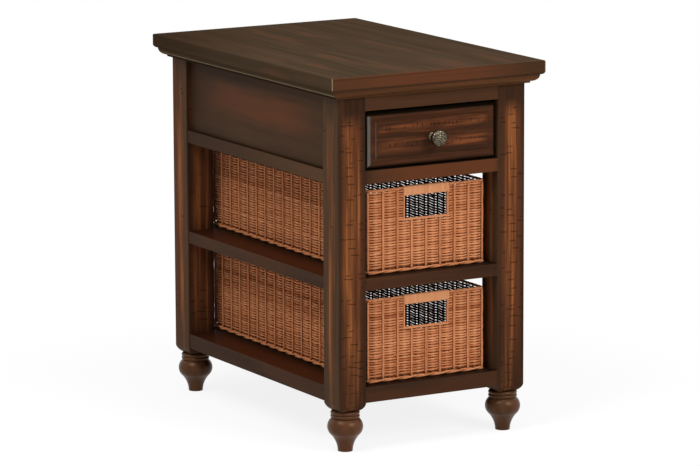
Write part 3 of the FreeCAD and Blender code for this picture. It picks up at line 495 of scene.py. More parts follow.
def drawer_wood():
    """The drawer front: broken worn bands with rows of short upright ticks, and painted shade round
    its moulded edge.

    The painted shade is darkest along the top and the ends, where the opening shades it, and a
    painted highlight lies on its left slopes.
    """
    shader = Shader("drawer_wood")
    place = shader.place()
    x, _, z = shader.split(place)
    streak, fine = grain(shader, place, "x", *DRAWER_GRAIN)
    colour = shader.mix(shader.ease(streak, *CRISP), DRAWER_DARK, DRAWER_BROWN)
    sway = shader.noise(shader.stretch(place, DRAWER_SWAY_GRAIN))
    wander = shader.math("MULTIPLY_ADD", sway, DRAWER_SWAY, -DRAWER_SWAY / 2)
    height = shader.math("ADD", z, wander)
    patch = shader.noise(shader.stretch(place, DRAWER_PATCH_GRAIN))
    patch = blend(shader, patch, streak, DRAWER_PATCH_STREAKS)
    from_middle = shader.math("ABSOLUTE", shader.math("SUBTRACT", z, DRAWER_MIDDLE.z))
    from_edge = shader.math("SUBTRACT", DRAWER_HALF.z, from_middle)
    from_end = shader.math("SUBTRACT", DRAWER_HALF.x, shader.math("ABSOLUTE", x))
    inside = shader.ease(from_end, *BAND_ENDS)
    ticks = 0.0
    bands = 0.0
    for number, band in enumerate(BAND_HEIGHTS):
        from_band = shader.math("SUBTRACT", height, band)
        bands = shader.math("MAXIMUM", shader.near(from_band, *BAND_SIZE), bands)
        dx, _, chance, other = shader.cells(x, TICK_ROW_APART * number, *TICK_CELL)
        level = shader.math("MULTIPLY_ADD", other, TICK_LIFT, band - TICK_LIFT / 2)
        row = times(
            shader,
            shader.near(dx, *TICK_WIDE),
            shader.near(shader.math("SUBTRACT", z, level), *TICK_HIGH),
            shader.math("GREATER_THAN", chance, TICKS_LEFT_OUT),
        )
        ticks = shader.math("MAXIMUM", row, ticks)
    worn = times(shader, bands, shader.ease(patch, *DRAWER_PATCH, 0.0, 0.7), inside)
    colour = shader.mix(worn, colour, shader.mix(shader.ease(fine, *FINE), RED, DRAWER_WORN))

    # Painted shade round the moulded edge.
    edge = shader.math("MINIMUM", from_end, from_edge)
    colour = shader.mix(shader.ease(edge, *DRAWER_EDGE_SHADE_WIDE, 0.8, 0.0), colour, DRAWER_EDGE_SHADE)
    # A painted highlight on the slopes that face left.
    to_right, to_back, _ = shader.facing()
    slope = shader.ease(shader.math("MULTIPLY", to_right, -1.0), *DRAWER_HIGHLIGHT_TURN, 0.0, 0.9)
    slope = shader.math("MULTIPLY", slope, shader.ease(from_end, *DRAWER_HIGHLIGHT_OUTER, 1.0, 0.6))
    colour = shader.mix(slope, colour, DRAWER_SLOPE_HIGHLIGHT)
    # Painted shadow along the top and the ends, where the rail and the posts shade the front.
    from_ends = shader.math("MULTIPLY", from_end, DRAWER_SHADOW_NARROWER)
    rim = shader.math("MINIMUM", from_ends, shader.math("SUBTRACT", DRAWER_HIGH.z, z))
    before = shader.ease(shader.math("ABSOLUTE", to_back), *DRAWER_SHADOW_TURN)
    top_shadow = times(shader, shader.ease(rim, *DRAWER_SHADOW_HIGH, 1.0, 0.0), before)
    colour = shader.mix(top_shadow, colour, DRAWER_SHADOW)
    return finish_wood(shader, colour, fine, times(shader, ticks, inside))


TOP_LOW, TOP_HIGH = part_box("table_top")
TOP_SHEEN = 0.0
# Painted sheen: the slab's colours are greyed as the white room would grey them at a low angle, and
# the slab has no specular of its own.
TOP_DARK_AND_SHEEN = srgb(57, 46, 34)
TOP_BROWN_AND_SHEEN = srgb(69, 54, 41)
TOP_RED = srgb(82, 56, 41)
TOP_RED_GRAIN = (34, 5)
TOP_RED_STREAK = (0.58, 0.72)
TOP_SHADE_BEHIND = (-0.05, 0.32)
TOP_SHADE_LEFT = (-0.2, 0.02)
TOP_EDGE = srgb(80, 47, 30)
TOP_EDGE_END = srgb(55, 39, 26)
TOP_EDGE_RIGHT = (0.05, 0.2)
TOP_EDGE_LEFT = (-0.2, -0.06)
TOP_LINE_GRAIN = (420, 3)
TOP_LINE = (0.5, 0.68)
TOP_JOINT = (TOP_LOW.z + 0.0015, TOP_LOW.z + 0.004)
ARRIS_HIGHLIGHT = srgb(116, 101, 80)
ARRIS_X = (TOP_HIGH.x - 0.0018, TOP_HIGH.x - 0.0008)
ARRIS_Y = (TOP_HIGH.y - 0.0018, TOP_HIGH.y - 0.0008)


def top_wood():
    """The slab: brown boards greyed by a painted sheen, with a few reddish streaks, and painted shade
    in the far left corner.

    Its front edge is reddish with dark lines, and its upright corners carry a painted highlight.
    """
    shader = Shader("top_wood")
    place = shader.place()
    x, y, z = shader.split(place)
    streak, fine = grain(shader, shader.turned_at_ends(place), "y", *TOP_GRAIN)
    colour = shader.mix(shader.ease(streak, *SOFT), TOP_DARK_AND_SHEEN, TOP_BROWN_AND_SHEEN)
    zone = shader.noise(along_grain(shader, place, "y", *TOP_RED_GRAIN))
    colour = shader.mix(shader.ease(zone, *TOP_RED_STREAK, 0.0, 0.55), colour, TOP_RED)
    behind = shader.ease(y, *TOP_SHADE_BEHIND, 0.0, 0.55)
    shade = times(shader, behind, shader.ease(x, *TOP_SHADE_LEFT, 1.0, 0.0))
    colour = shader.mix(shade, colour, DARK)
    right = shader.ease(x, *TOP_EDGE_RIGHT, 0.0, 0.85)
    ends = shader.math("MAXIMUM", right, shader.ease(x, *TOP_EDGE_LEFT, 0.4, 0.0))
    lines = shader.noise(along_grain(shader, place, "x", *TOP_LINE_GRAIN))
    edge = shader.mix(ends, TOP_EDGE, TOP_EDGE_END)
    edge = shader.mix(shader.ease(lines, *TOP_LINE, 0.0, 0.35), edge, DARK)
    edge = shader.mix(shader.ease(z, *TOP_JOINT, 0.8, 0.0), edge, DARK)
    colour = shader.mix(shader.looks_along("y"), colour, edge)
    # A painted highlight on the slab's upright corners.
    corner = times(
        shader,
        shader.ease(shader.math("ABSOLUTE", x), *ARRIS_X),
        shader.ease(shader.math("ABSOLUTE", y), *ARRIS_Y),
    )
    colour = shader.mix(corner, colour, ARRIS_HIGHLIGHT)
    return finish_wood(shader, colour, fine, specular=TOP_SHEEN)


MOULDING_DARK = srgb(58, 38, 23)
MOULDING_BROWN = srgb(82, 51, 30)
MOULDING_LOW = srgb(50, 40, 30)
MOULDING_LINE = 0.6035
MOULDING_HIGHLIGHT_WIDE = (0.0003, 0.0009)
MOULDING_FADE = (-0.001, 0.0)


def side_moulding_wood():
    """The strips under the slab's sides: the slab's colour with its painted sheen, a painted
    highlight line, and a darker lower part.
    """
    shader = Shader("side_moulding_wood")
    place = shader.place()
    streak, fine = grain(shader, place, "y", *TOP_GRAIN)
    colour = shader.mix(shader.ease(streak, *SOFT), TOP_DARK_AND_SHEEN, TOP_BROWN_AND_SHEEN)
    above = shader.math("SUBTRACT", shader.split(place)[2], MOULDING_LINE)
    colour = shader.mix(shader.ease(above, *MOULDING_FADE), MOULDING_LOW, colour)
    # A painted highlight along the moulding, below the slab's lower rounding.
    colour = shader.mix(shader.near(above, *MOULDING_HIGHLIGHT_WIDE), colour, ARRIS_HIGHLIGHT)
    return finish_wood(shader, colour, fine, specular=TOP_SHEEN)


PLAIN_STREAK = (0.3, 0.7)
PLAIN_ROUGHNESS = 0.55
PLAIN_SHEEN = 0.1


def plain_wood(name, axis, light, dark):
    shader = Shader(name)
    streak, _ = grain(shader, shader.place(), axis, *POST_GRAIN)
    colour = shader.mix(shader.ease(streak, *PLAIN_STREAK), dark, light)
    return shader.finish(colour, PLAIN_ROUGHNESS, specular=PLAIN_SHEEN)


# Metal

PEWTER_LIGHT = srgb(132, 123, 103)
PEWTER_DARK = srgb(68, 61, 49)
PEWTER_ROUGHNESS = 0.38
PEWTER_RELIEF = 0.0002
DIMPLES = 420.0
DIMPLE_SIZE = (0.15, 0.6)
STEEL = srgb(170, 170, 168)
STEEL_ROUGHNESS = 0.35


def pewter():
    """Hammered metal: small bright dimples on a dull ground."""
    shader = Shader("hammered_pewter")
    cells = shader.node("ShaderNodeTexVoronoi", {"Vector": shader.place(), "Scale": DIMPLES})
    dimple = shader.ease(cells.outputs["Distance"], *DIMPLE_SIZE)
    colour = shader.mix(dimple, PEWTER_LIGHT, PEWTER_DARK)
    return shader.finish(colour, PEWTER_ROUGHNESS, dimple, PEWTER_RELIEF, metallic=1.0)


def steel():
    return Shader("plated_steel").finish(STEEL, STEEL_ROUGHNESS, metallic=1.0)


# Colours of the case and the drawer


def paint(material, *names):
    for name in names:
        NODES[name].data.materials.clear()
        NODES[name].data.materials.append(material)


CORNERS = ("front_left", "front_right", "rear_left", "rear_right")
RAIL_DARK = srgb(46, 31, 21)
RAIL_BROWN = srgb(60, 40, 27)
RAIL_LIGHT = srgb(72, 47, 31)
BOARD_RED = 0.25
FOOT_DARK = srgb(50, 31, 18)
FOOT_BROWN = srgb(74, 47, 28)
FOOT_LOOK = {"red": 0.4, "roughness": 0.32, "specular": 0.2}
INNER_LIGHT = srgb(150, 112, 74)
INNER_DARK = srgb(122, 86, 54)


def board_wood(name, change):
    return soft_wood(name, "y", RAIL_DARK, RAIL_BROWN, BOARD_RED, ends=True, change=change)


paint(post_wood(), *(f"{corner}_post" for corner in CORNERS))
paint(
    soft_wood("foot_wood", "z", FOOT_DARK, FOOT_BROWN, **FOOT_LOOK),
    *(f"{corner}_foot" for corner in CORNERS),
)
paint(top_wood(), "table_top")
paint(soft_wood("rail_wood", "x", BROWN, RAIL_LIGHT), "front_top_rail", "back_panel")
paint(
    soft_wood("moulding_wood", "x", MOULDING_DARK, MOULDING_BROWN), "front_moulding", "rear_moulding"
)
paint(side_moulding_wood(), "left_moulding", "right_moulding")
paint(panel_wood(), "left_side_panel", "right_side_panel")
paint(board_wood("shelf_wood", shelf_top), "bottom_shelf", "middle_shelf")
paint(board_wood("deck_wood", deck_faces), "drawer_deck")
paint(drawer_wood(), "drawer_front")
paint(
    plain_wood("inner_wood", "y", INNER_LIGHT, INNER_DARK),
    "drawer_left_side",
    "drawer_right_side",
    "drawer_bottom",
    "drawer_guides",
    "center_runner",
    "left_kicker",
    "right_kicker",
)
paint(plain_wood("inner_cross_wood", "x", INNER_LIGHT, INNER_DARK), "drawer_back", "case_dowels")
paint(steel(), "foot_bolts", "top_screws", "runner_screws", "knob_screw")
paint(pewter(), "drawer_knob", "knob_rosette")


# Cane

INNER_CANE_SHADE = srgb(58, 32, 19)
INNER_SHADE_TONE = (-0.4, 0.1)
CANE_ROUGHNESS = 0.55
CANE_SHEEN = 0.03
FLECKS = 260.0
FLECK_SHARE = 0.3


def cane(name, light, dark):
    """Woven cane, a little different on each strand. A tone under zero paints shade, as on a wall's
    inner side.
    """
    shader = Shader(name)
    tone = shader.node("ShaderNodeAttribute", attribute_name="tone").outputs["Fac"]
    fleck = shader.noise(shader.place(), scale=FLECKS)
    colour = shader.mix(blend(shader, tone, fleck, FLECK_SHARE), dark, light)
    # Painted shade where the tone falls under zero.
    colour = shader.mix(shader.ease(tone, *INNER_SHADE_TONE, 1.0, 0.0), colour, INNER_CANE_SHADE)
    return shader.finish(colour, CANE_ROUGHNESS, specular=CANE_SHEEN)


CANE = cane("cane", srgb(200, 136, 94), srgb(148, 79, 43))
GRIP_CANE = cane("grip_cane", srgb(198, 138, 97), srgb(158, 100, 65))


# Strands

MM = 0.001
SEED = 7
STRAND_SIDES = 6
BEND_SIDES = ((1, -1), (1, 1), (-1, 1), (-1, -1))
RUN_STARTS = ((0, -1), (1, -1), (1, 1), (-1, 1), (-1, -1))


def same(direction, count):
    """One direction for each of count steps."""
    return np.tile(np.array(direction, float), (count, 1))


def upward(count):
    return same((0, 0, 1), count)


def lift(plan, height):
    """Points in plan, at a height or at one for each."""
    return np.column_stack([plan, np.broadcast_to(height, len(plan))])


def level(outs):
    """Directions in plan, as level directions in space."""
    return lift(outs, 0.0)


def for_rings(size, count):
    """Half a size, or half of one for each of count steps, shaped to multiply rings of points."""
    return np.broadcast_to(np.asarray(size, float), count)[:, None, None] / 2


def smooth_random(draw, distance, length, waves):
    """A closed random wave along a loop, about one high."""
    total = np.zeros(len(distance))
    for wave in range(1, waves + 1):
        size = draw.normal()
        start = draw.uniform(0, 2 * math.pi)
        total += size * np.sin(2 * math.pi * wave * distance / length + start)
    return total / math.sqrt(waves)


def split_runs(shown):
    """Groups of neighbouring steps that are shown, round a closed loop."""
    order = np.roll(np.arange(len(shown)), -int(np.argmin(shown)))
    runs = np.split(order, np.flatnonzero(np.diff(shown[order])) + 1)
    return [run for run in runs if shown[run[0]]]


class Weave:
    """Collects swept strands into one mesh, with a tone for each."""

    def __init__(self):
        self.points = []
        self.faces = []
        self.tones = []
        self.count = 0

    def add(self, rings, closed, tone):
        """rings has one ring of points for each step along a strand."""
        steps, sides, _ = rings.shape
        first = self.count + np.arange(steps)[:, None] * sides + np.arange(sides)[None, :]
        turned = np.roll(first, -1, axis=1)
        ahead = np.roll(first, -1, axis=0)
        ahead_turned = np.roll(turned, -1, axis=0)
        quads = np.stack([first, turned, ahead_turned, ahead], axis=-1)
        if not closed:
            quads = quads[:-1]
            self.faces.append(tuple(first[0][::-1].tolist()))
            self.faces.append(tuple(first[-1].tolist()))
        self.faces.extend(map(tuple, quads.reshape(-1, 4).tolist()))
        self.points.append(rings.reshape(-1, 3))
        self.tones.append(np.broadcast_to(tone, (steps, sides)).ravel())
        self.count += steps * sides

    def strand(self, path, out, up, depth, height, closed, tone, inner=0.0):
        """An oval strand along path, as deep as depth along out and as high as height along up.

        inner is how much painted shade the strand has on the side away from out.
        """
        angles = np.arange(STRAND_SIDES) * 2 * math.pi / STRAND_SIDES
        across = for_rings(depth, len(path)) * np.cos(angles)[None, :, None]
        rise = for_rings(height, len(path)) * np.sin(angles)[None, :, None]
        rings = path[:, None, :] + out[:, None, :] * across + up[:, None, :] * rise
        shade = inner * np.clip(-np.cos(angles), 0, 1)
        self.add(rings, closed, np.asarray(tone, float).reshape(-1, 1) - shade[None, :])

    def piece(self, name, body, node, material):
        """Makes the mesh that is shown for a node and moves with its body."""
        mesh = bpy.data.meshes.new(name)
        mesh.from_pydata(np.concatenate(self.points).tolist(), [], self.faces)
        tones = mesh.attributes.new("tone", "FLOAT", "POINT")
        tones.data.foreach_set("value", np.concatenate(self.tones))
        mesh.shade_smooth()
        mesh.materials.append(material)
        made = add_object(name, mesh)
        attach(made, body)
        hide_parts(node)


class Loop:
    """A rounded rectangle round a basket, anticlockwise from the middle of the front wall.

    Straight runs and bends take turns along it, and the front wall is its first and its last run.
    """

    def __init__(self, low, high, inset, corner):
        """The loop lies inset within the box from low to high."""
        self.middle = np.array([(high.x + low.x) / 2, (high.y + low.y) / 2])
        self.corner = corner
        half = np.array([(high.x - low.x) / 2 - inset, (high.y - low.y) / 2 - inset])
        self.inner = half - corner
        along_x, along_y = 2 * self.inner
        bend = corner * math.pi / 2
        walls = [along_x / 2, along_y, along_x, along_y, along_x / 2]
        runs = [length for wall in walls for length in (wall, bend)][:-1]
        self.ends = np.concatenate([[0], np.cumsum(runs)])
        self.length = self.ends[-1]

    def at(self, distance):
        """Points in plan, and the directions that face out there."""
        distance = np.mod(distance, self.length)
        last = len(self.ends) - 2
        run = np.clip(np.searchsorted(self.ends, distance, side="right") - 1, 0, last)
        into = distance - self.ends[run]
        points = np.zeros((len(distance), 2))
        outs = np.zeros((len(distance), 2))
        for number in range(last + 1):
            chosen = run == number
            angle = -math.pi / 2 + math.pi / 2 * (number // 2)
            if number % 2:
                turn = angle + into[chosen] / self.corner
                facing = np.stack([np.cos(turn), np.sin(turn)], axis=1)
                centre = self.inner * np.array(BEND_SIDES[number // 2])
                points[chosen] = centre + self.corner * facing
            else:
                facing = np.array([math.cos(angle), math.sin(angle)])
                ahead = np.array([-facing[1], facing[0]])
                start = self.inner * np.array(RUN_STARTS[number // 2]) + self.corner * facing
                points[chosen] = start + ahead * into[chosen][:, None]
            outs[chosen] = facing
        return points + self.middle, outs

    def corners(self):
        """Distances of the middles of the four bends, from the front right one on."""
        return [(self.ends[i] + self.ends[i + 1]) / 2 for i in (1, 3, 5, 7)]


# Basket walls

ROW_COUNT = 29
FRONT_BAYS = 8
SIDE_BAYS = 17
WALL_BAYS = (SIDE_BAYS, FRONT_BAYS, SIDE_BAYS, FRONT_BAYS)
STEPS_PER_BAY = 8
WALL_BACK = 3.5 * MM
WALL_CORNER = 5.5 * MM
FACES_ALONG = 0.9
FACES_END = 0.99
FOOT_SLOT = 2.6 * MM
HOLE_MARGIN = 2.5 * MM
GRIP_OVERLAP = 3.0 * MM
OPEN_UNDER = 1.0 * MM

# The rows. The far walls are the right one and the rear one.
WEAVE_DEPTH = 1.3 * MM
STRAND_DEPTH = 2.7 * MM
STRAND_HEIGHT = 3.7 * MM
STRAND_NARROW = 0.24
FAR_NARROW = 0.1
FAR_GAP = -0.08 * MM
FAR_CALM = 0.4
LEFT_GAP = 0.25 * MM
INNER_SHADE = 1.1
ROW_TONE = 0.52
ROW_PAINTED_LIGHT_SWAY = 0.14
ROW_TONE_SPREAD = 0.16
ROW_TONE_WAVE = (30, 0.14)
ROW_HEIGHT_WAVE = (60, 0.3)
ROW_HEIGHT_SPREAD = 0.2
ROW_DEPTH_WAVE = (40, 0.12)
ROW_PHASE_SPREAD = 0.12
ROW_THICK_SPREAD = 0.05

# The lining behind the rows, darkened as painted shade
LINING_BACK = 1.2 * MM
LINING_DEPTH = 1.6 * MM
LINING_SHARE = 0.9
LINING_SHADE_TONE = -0.12
LINING_SHADE = 0.5

# The stakes
STAKE_RADIUS = 1.15 * MM
STAKE_PAIR = (-0.95 * MM, 0.95 * MM)
STAKE_OUT = 1.3 * MM
STAKE_FOOT = 3.0 * MM
STAKE_BOW = 0.35 * MM
STAKE_UNEVEN = 0.16
STAKE_TONE = 0.62
STAKE_TONE_SPREAD = 0.14
STAKE_STEPS = 20
HIDDEN_STAKE_STEPS = 6
CORNER_RADIUS = 2.2 * MM

# The canes at the sides and the foot of a handle hole
JAMB_RADIUS = 1.7 * MM
JAMB_OUT = 1.4 * MM
JAMB_INSET = 0.6 * MM
JAMB_WIDE = 4.0 * MM
JAMB_FOOT = 4.0 * MM
JAMB_HEAD = 1.0 * MM
JAMB_TONE = 0.8
JAMB_STEPS = 10
SILL_STEPS = 24
SILL_SIZE = 3.0 * MM
SILL_DROP = 1.4 * MM
SILL_CANES = ((-1.6 * MM, -0.4 * MM), (1.6 * MM, -0.4 * MM), (0.0, 0.9 * MM))
SILL_WANDER = 0.12 * MM
SILL_TONE = 0.75


def stake_places(loop):
    """Distances of the stakes that show, wall by wall from the front right corner on.

    The first stake of each wall stands at a corner.
    """
    corners = loop.corners()
    places = []
    for number, bays in enumerate(WALL_BAYS):
        start = corners[number]
        end = corners[(number + 1) % len(corners)]
        if end < start:
            end += loop.length
        places.extend(start + (end - start) * step / bays for step in range(bays))
    return np.array(places)


def hole_box(name):
    for opening in frame["record"]["physics"]["openings"]:
        if opening["name"] == f"{name}_front_hole":
            return [Vector(corner) for corner in opening["box_m"]]
    raise ValueError(f"{name} has no front hole")


def weave_walls(name, draw):
    """The walls of a basket: rows round it that end at the handle holes, and the stakes."""
    low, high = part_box(f"{name}_walls")
    grip_low, grip_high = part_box(f"{name}_grips")
    hole_low, hole_high = hole_box(name)
    gap_half = hole_high.x + HOLE_MARGIN
    loop = Loop(low, high, WALL_BACK, WALL_CORNER)
    stakes = stake_places(loop)
    ends = np.append(stakes[1:], stakes[0] + loop.length)
    shares = np.arange(STEPS_PER_BAY) / STEPS_PER_BAY
    distance = (stakes[:, None] + (ends - stakes)[:, None] * shares[None, :]).ravel()
    phase = np.tile(shares, len(stakes)) * 2 * math.pi
    plan, outs = loop.at(distance)
    side = level(outs)
    at_end = np.abs(outs[:, 1]) > FACES_END
    far = (outs[:, 0] > FACES_ALONG) | (outs[:, 1] > FACES_ALONG)
    slit = np.where(far, FAR_GAP, np.where(outs[:, 0] < -FACES_ALONG, LEFT_GAP, 0.0))
    calm = np.where(far, FAR_CALM, 1.0)
    narrow = np.where(far, FAR_NARROW, STRAND_NARROW)
    pitch = (high.z - low.z - FOOT_SLOT) / ROW_COUNT
    weave = Weave()

    def varied(waves, size):
        return smooth_random(draw, distance, loop.length, waves) * size

    for row in range(ROW_COUNT):
        height = low.z + FOOT_SLOT + pitch * (row + 0.5)
        wave = (varied(*ROW_HEIGHT_WAVE) + draw.normal() * ROW_HEIGHT_SPREAD) * calm * MM
        sway = -np.cos(phase + draw.normal() * ROW_PHASE_SPREAD)
        depth = WEAVE_DEPTH * sway * (1 + varied(*ROW_DEPTH_WAVE))
        swell = 1 + narrow * np.cos(2 * phase) + draw.normal() * ROW_THICK_SPREAD
        thick = STRAND_HEIGHT * swell - slit
        # Painted highlight where a row bulges out mid-bay, and painted shade where it dips behind the
        # stakes.
        tone = ROW_TONE + ROW_PAINTED_LIGHT_SWAY * sway + draw.normal() * ROW_TONE_SPREAD
        tone = np.clip(tone + varied(*ROW_TONE_WAVE), 0, 1)
        path = lift(plan + outs * depth[:, None], height + wave)
        if height > grip_low.z - OPEN_UNDER:
            half = grip_high.x - GRIP_OVERLAP
        elif height > hole_low.z - OPEN_UNDER:
            half = gap_half
        else:
            half = 0.0
        opened = at_end & (np.abs(plan[:, 0] - loop.middle[0]) < half)
        closed = not half
        for run in [np.arange(len(path))] if closed else split_runs(~opened):
            shape = (STRAND_DEPTH, thick[run], closed, tone[run], INNER_SHADE)
            weave.strand(path[run], side[run], upward(len(run)), *shape)
    line_walls(weave, loop, low.z + FOOT_SLOT, pitch, hole_low.z, gap_half)
    add_stakes(weave, loop, zip(stakes, ends), low.z, high.z, gap_half, grip_low.z, hole_low.z, draw)
    frame_holes(weave, low.y, high.y, gap_half, grip_low.z, hole_low.z, draw)
    weave.piece(f"{name}_weave", name, f"{name}_walls", CANE)


def line_walls(weave, loop, low, pitch, hole_z, gap_half):
    """Rows behind the gaps of the front and left walls, and one round all at the foot, as painted
    shade.
    """
    right, _, rear_left, _ = loop.corners()
    foot = [(0.0, loop.length, 4 * (FRONT_BAYS + SIDE_BAYS))]
    whole = [(rear_left, right + loop.length, 2 * (FRONT_BAYS + SIDE_BAYS))]
    parted = [
        (rear_left, loop.length - gap_half, 2 * SIDE_BAYS + FRONT_BAYS),
        (gap_half, right, FRONT_BAYS),
    ]
    shape = (LINING_DEPTH, pitch * LINING_SHARE, False, LINING_SHADE_TONE, LINING_SHADE)
    for row in range(ROW_COUNT):
        height = low + pitch * row
        runs = whole if height < hole_z - pitch else parted
        for start, end, steps in foot if row == 0 else runs:
            plan, outs = loop.at(np.linspace(start, end, steps + 1))
            path = lift(plan - outs * LINING_BACK, height)
            weave.strand(path, level(outs), upward(len(path)), *shape)


def rod(weave, plan, out, low, high, radius, tone, steps, bow=0.0, inner=0.0):
    """An upright cane, bowed a little out of line. radius may change along it."""
    ahead = (-out[1], out[0])
    path = lift(same(plan, steps), np.linspace(low, high, steps))
    path[:, :2] += np.outer(np.sin(np.linspace(0, math.pi, steps)) * bow, ahead)
    shape = (2 * radius, 2 * radius, False, tone, inner)
    weave.strand(path, same((*out, 0), steps), same((*ahead, 0), steps), *shape)


def add_stakes(weave, loop, bays, low, high, gap_half, grip_z, hole_z, draw):
    """The stakes: pairs that show, a thick one at each corner, and pairs behind the bays' middles."""
    corners = np.cumsum((0, *WALL_BAYS))
    for number, (start, end) in enumerate(bays):
        middle = (start + end) / 2
        stakes = [(start, WALL_BACK - CORNER_RADIUS, CORNER_RADIUS)]
        if number not in corners:
            stakes = [(start + by, STAKE_OUT, STAKE_RADIUS) for by in STAKE_PAIR]
        stakes += [(middle + by, -STAKE_OUT, STAKE_RADIUS) for by in STAKE_PAIR]
        for distance, out_by, radius in stakes:
            plan, outs = loop.at(np.array([distance]))
            out = outs[0]
            place = plan[0] + out * out_by
            tone = np.clip(STAKE_TONE + draw.normal() * STAKE_TONE_SPREAD, 0, 1)
            bow = draw.normal() * STAKE_BOW
            top = high
            at_end = abs(out[1]) > FACES_END
            if at_end and abs(place[0]) < gap_half:
                top = hole_z
            elif at_end and abs(place[0]) < gap_half + JAMB_WIDE:
                top = grip_z
            shown = out_by > 0
            inner = INNER_SHADE if shown else INNER_SHADE * 2
            steps = STAKE_STEPS if shown else HIDDEN_STAKE_STEPS
            uneven = STAKE_UNEVEN * np.clip(draw.normal(size=steps), -1, 1) * shown
            radius = radius * (1 + uneven)
            rod(weave, place, out, low - STAKE_FOOT, top, radius, tone, steps, bow, inner)


def frame_holes(weave, front_y, rear_y, half, grip_z, hole_z, draw):
    """Canes that finish the two sides and the foot of each handle hole."""
    across = np.linspace(-half, half, SILL_STEPS)
    jamb = (hole_z - JAMB_FOOT, grip_z + JAMB_HEAD, JAMB_RADIUS, JAMB_TONE, JAMB_STEPS)
    for y, facing in ((front_y, -1.0), (rear_y, 1.0)):
        middle_y = y - facing * WALL_BACK
        for side in (-1, 1):
            for out_by in (-JAMB_OUT, JAMB_OUT):
                plan = (side * (half - JAMB_INSET), middle_y + facing * out_by)
                rod(weave, plan, (0.0, facing), *jamb)
        for out_by, rise in SILL_CANES:
            plan = np.column_stack([across, np.full(SILL_STEPS, middle_y + facing * out_by)])
            path = lift(plan, hole_z - SILL_DROP + rise)
            path[:, 2] += draw.normal(size=SILL_STEPS) * SILL_WANDER
            shape = (SILL_SIZE, SILL_SIZE, False, SILL_TONE)
            weave.strand(path, same((0, facing, 0), SILL_STEPS), upward(SILL_STEPS), *shape)


# Basket rim, border, floor and grips

ROPE_STEPS = 16
ROPE_TONE = 0.66
ROPE_TONE_SPREAD = 0.1
ROPE_TONE_WAVES = 30
RIM_OVERLAP = 2.0 * MM

# A rope's inset, corner, reach of its strands from its middle, strand radius, strands and turns
RIM_ROPE = (2.6 * MM, 6.4 * MM, 1.1 * MM, 1.45 * MM, 3, 44)
BORDER_ROPE = (3.0 * MM, 7.5 * MM, 1.2 * MM, 1.75 * MM, 2, FRONT_BAYS + SIDE_BAYS)

RIB_COUNT = 11
RIB_INSET = 8.0 * MM
RIB_SIZE = (3.6 * MM, 2.2 * MM)
RIB_STEPS = 12
RIB_TONE = 0.5
FLOOR_OVER = 3.5 * MM
FLOOR_PITCH = 4.4 * MM
FLOOR_SIZE = (5.0 * MM, 2.6 * MM)
FLOOR_STEPS = 41
FLOOR_SWAY = 0.6 * MM
FLOOR_WANDER = 0.2 * MM
FLOOR_TONE = 0.5
FLOOR_TONE_SPREAD = 0.15

GRIP_WALL = 7.0 * MM
GRIP_SIDES = 20
GRIP_SQUARE = 0.45
WRAP_COUNT = 18
WRAP_STEPS = 4
WRAP_GROOVE = 0.35 * MM
WRAP_ROUND = 0.6
WRAP_TONE = 0.7
WRAP_TONE_SPREAD = 0.16


def rope(weave, box, shape, draw, skip=None):
    """Strands twisted together round the middle of a box. skip says which steps are left out."""
    low, high = box
    inset, corner, reach, radius, strands, turns = shape
    loop = Loop(low, high, inset, corner)
    steps = turns * ROPE_STEPS
    distance = np.arange(steps) / steps * loop.length
    plan, outs = loop.at(distance)
    side = level(outs)
    up = upward(steps)
    middle = lift(plan, (low.z + high.z) / 2)
    runs = [np.arange(steps)] if skip is None else split_runs(~skip(plan, outs))
    for number in range(strands):
        angle = (2 * math.pi * (number / strands + turns * distance / loop.length))[:, None]
        path = middle + side * (reach * np.cos(angle)) + up * (reach * np.sin(angle))
        tone = ROPE_TONE + draw.normal() * ROPE_TONE_SPREAD
        wave = smooth_random(draw, distance, loop.length, ROPE_TONE_WAVES) * ROPE_TONE_SPREAD
        tone = np.clip(tone + wave, 0, 1)
        for run in runs:
            look = (2 * radius, 2 * radius, skip is None, tone[run])
            weave.strand(path[run], side[run], up[run], *look)


def weave_rim(name, draw):
    grip_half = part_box(f"{name}_grips")[1].x

    def behind_grip(plan, outs):
        return (np.abs(outs[:, 1]) > FACES_END) & (np.abs(plan[:, 0]) < grip_half - RIM_OVERLAP)

    weave = Weave()
    rope(weave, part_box(f"{name}_rim"), RIM_ROPE, draw, behind_grip)
    weave.piece(f"{name}_rim_rope", name, f"{name}_rim", CANE)


def weave_border(name, draw):
    weave = Weave()
    rope(weave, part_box(f"{name}_base_border"), BORDER_ROPE, draw)
    weave.piece(f"{name}_border_rope", name, f"{name}_base_border", CANE)


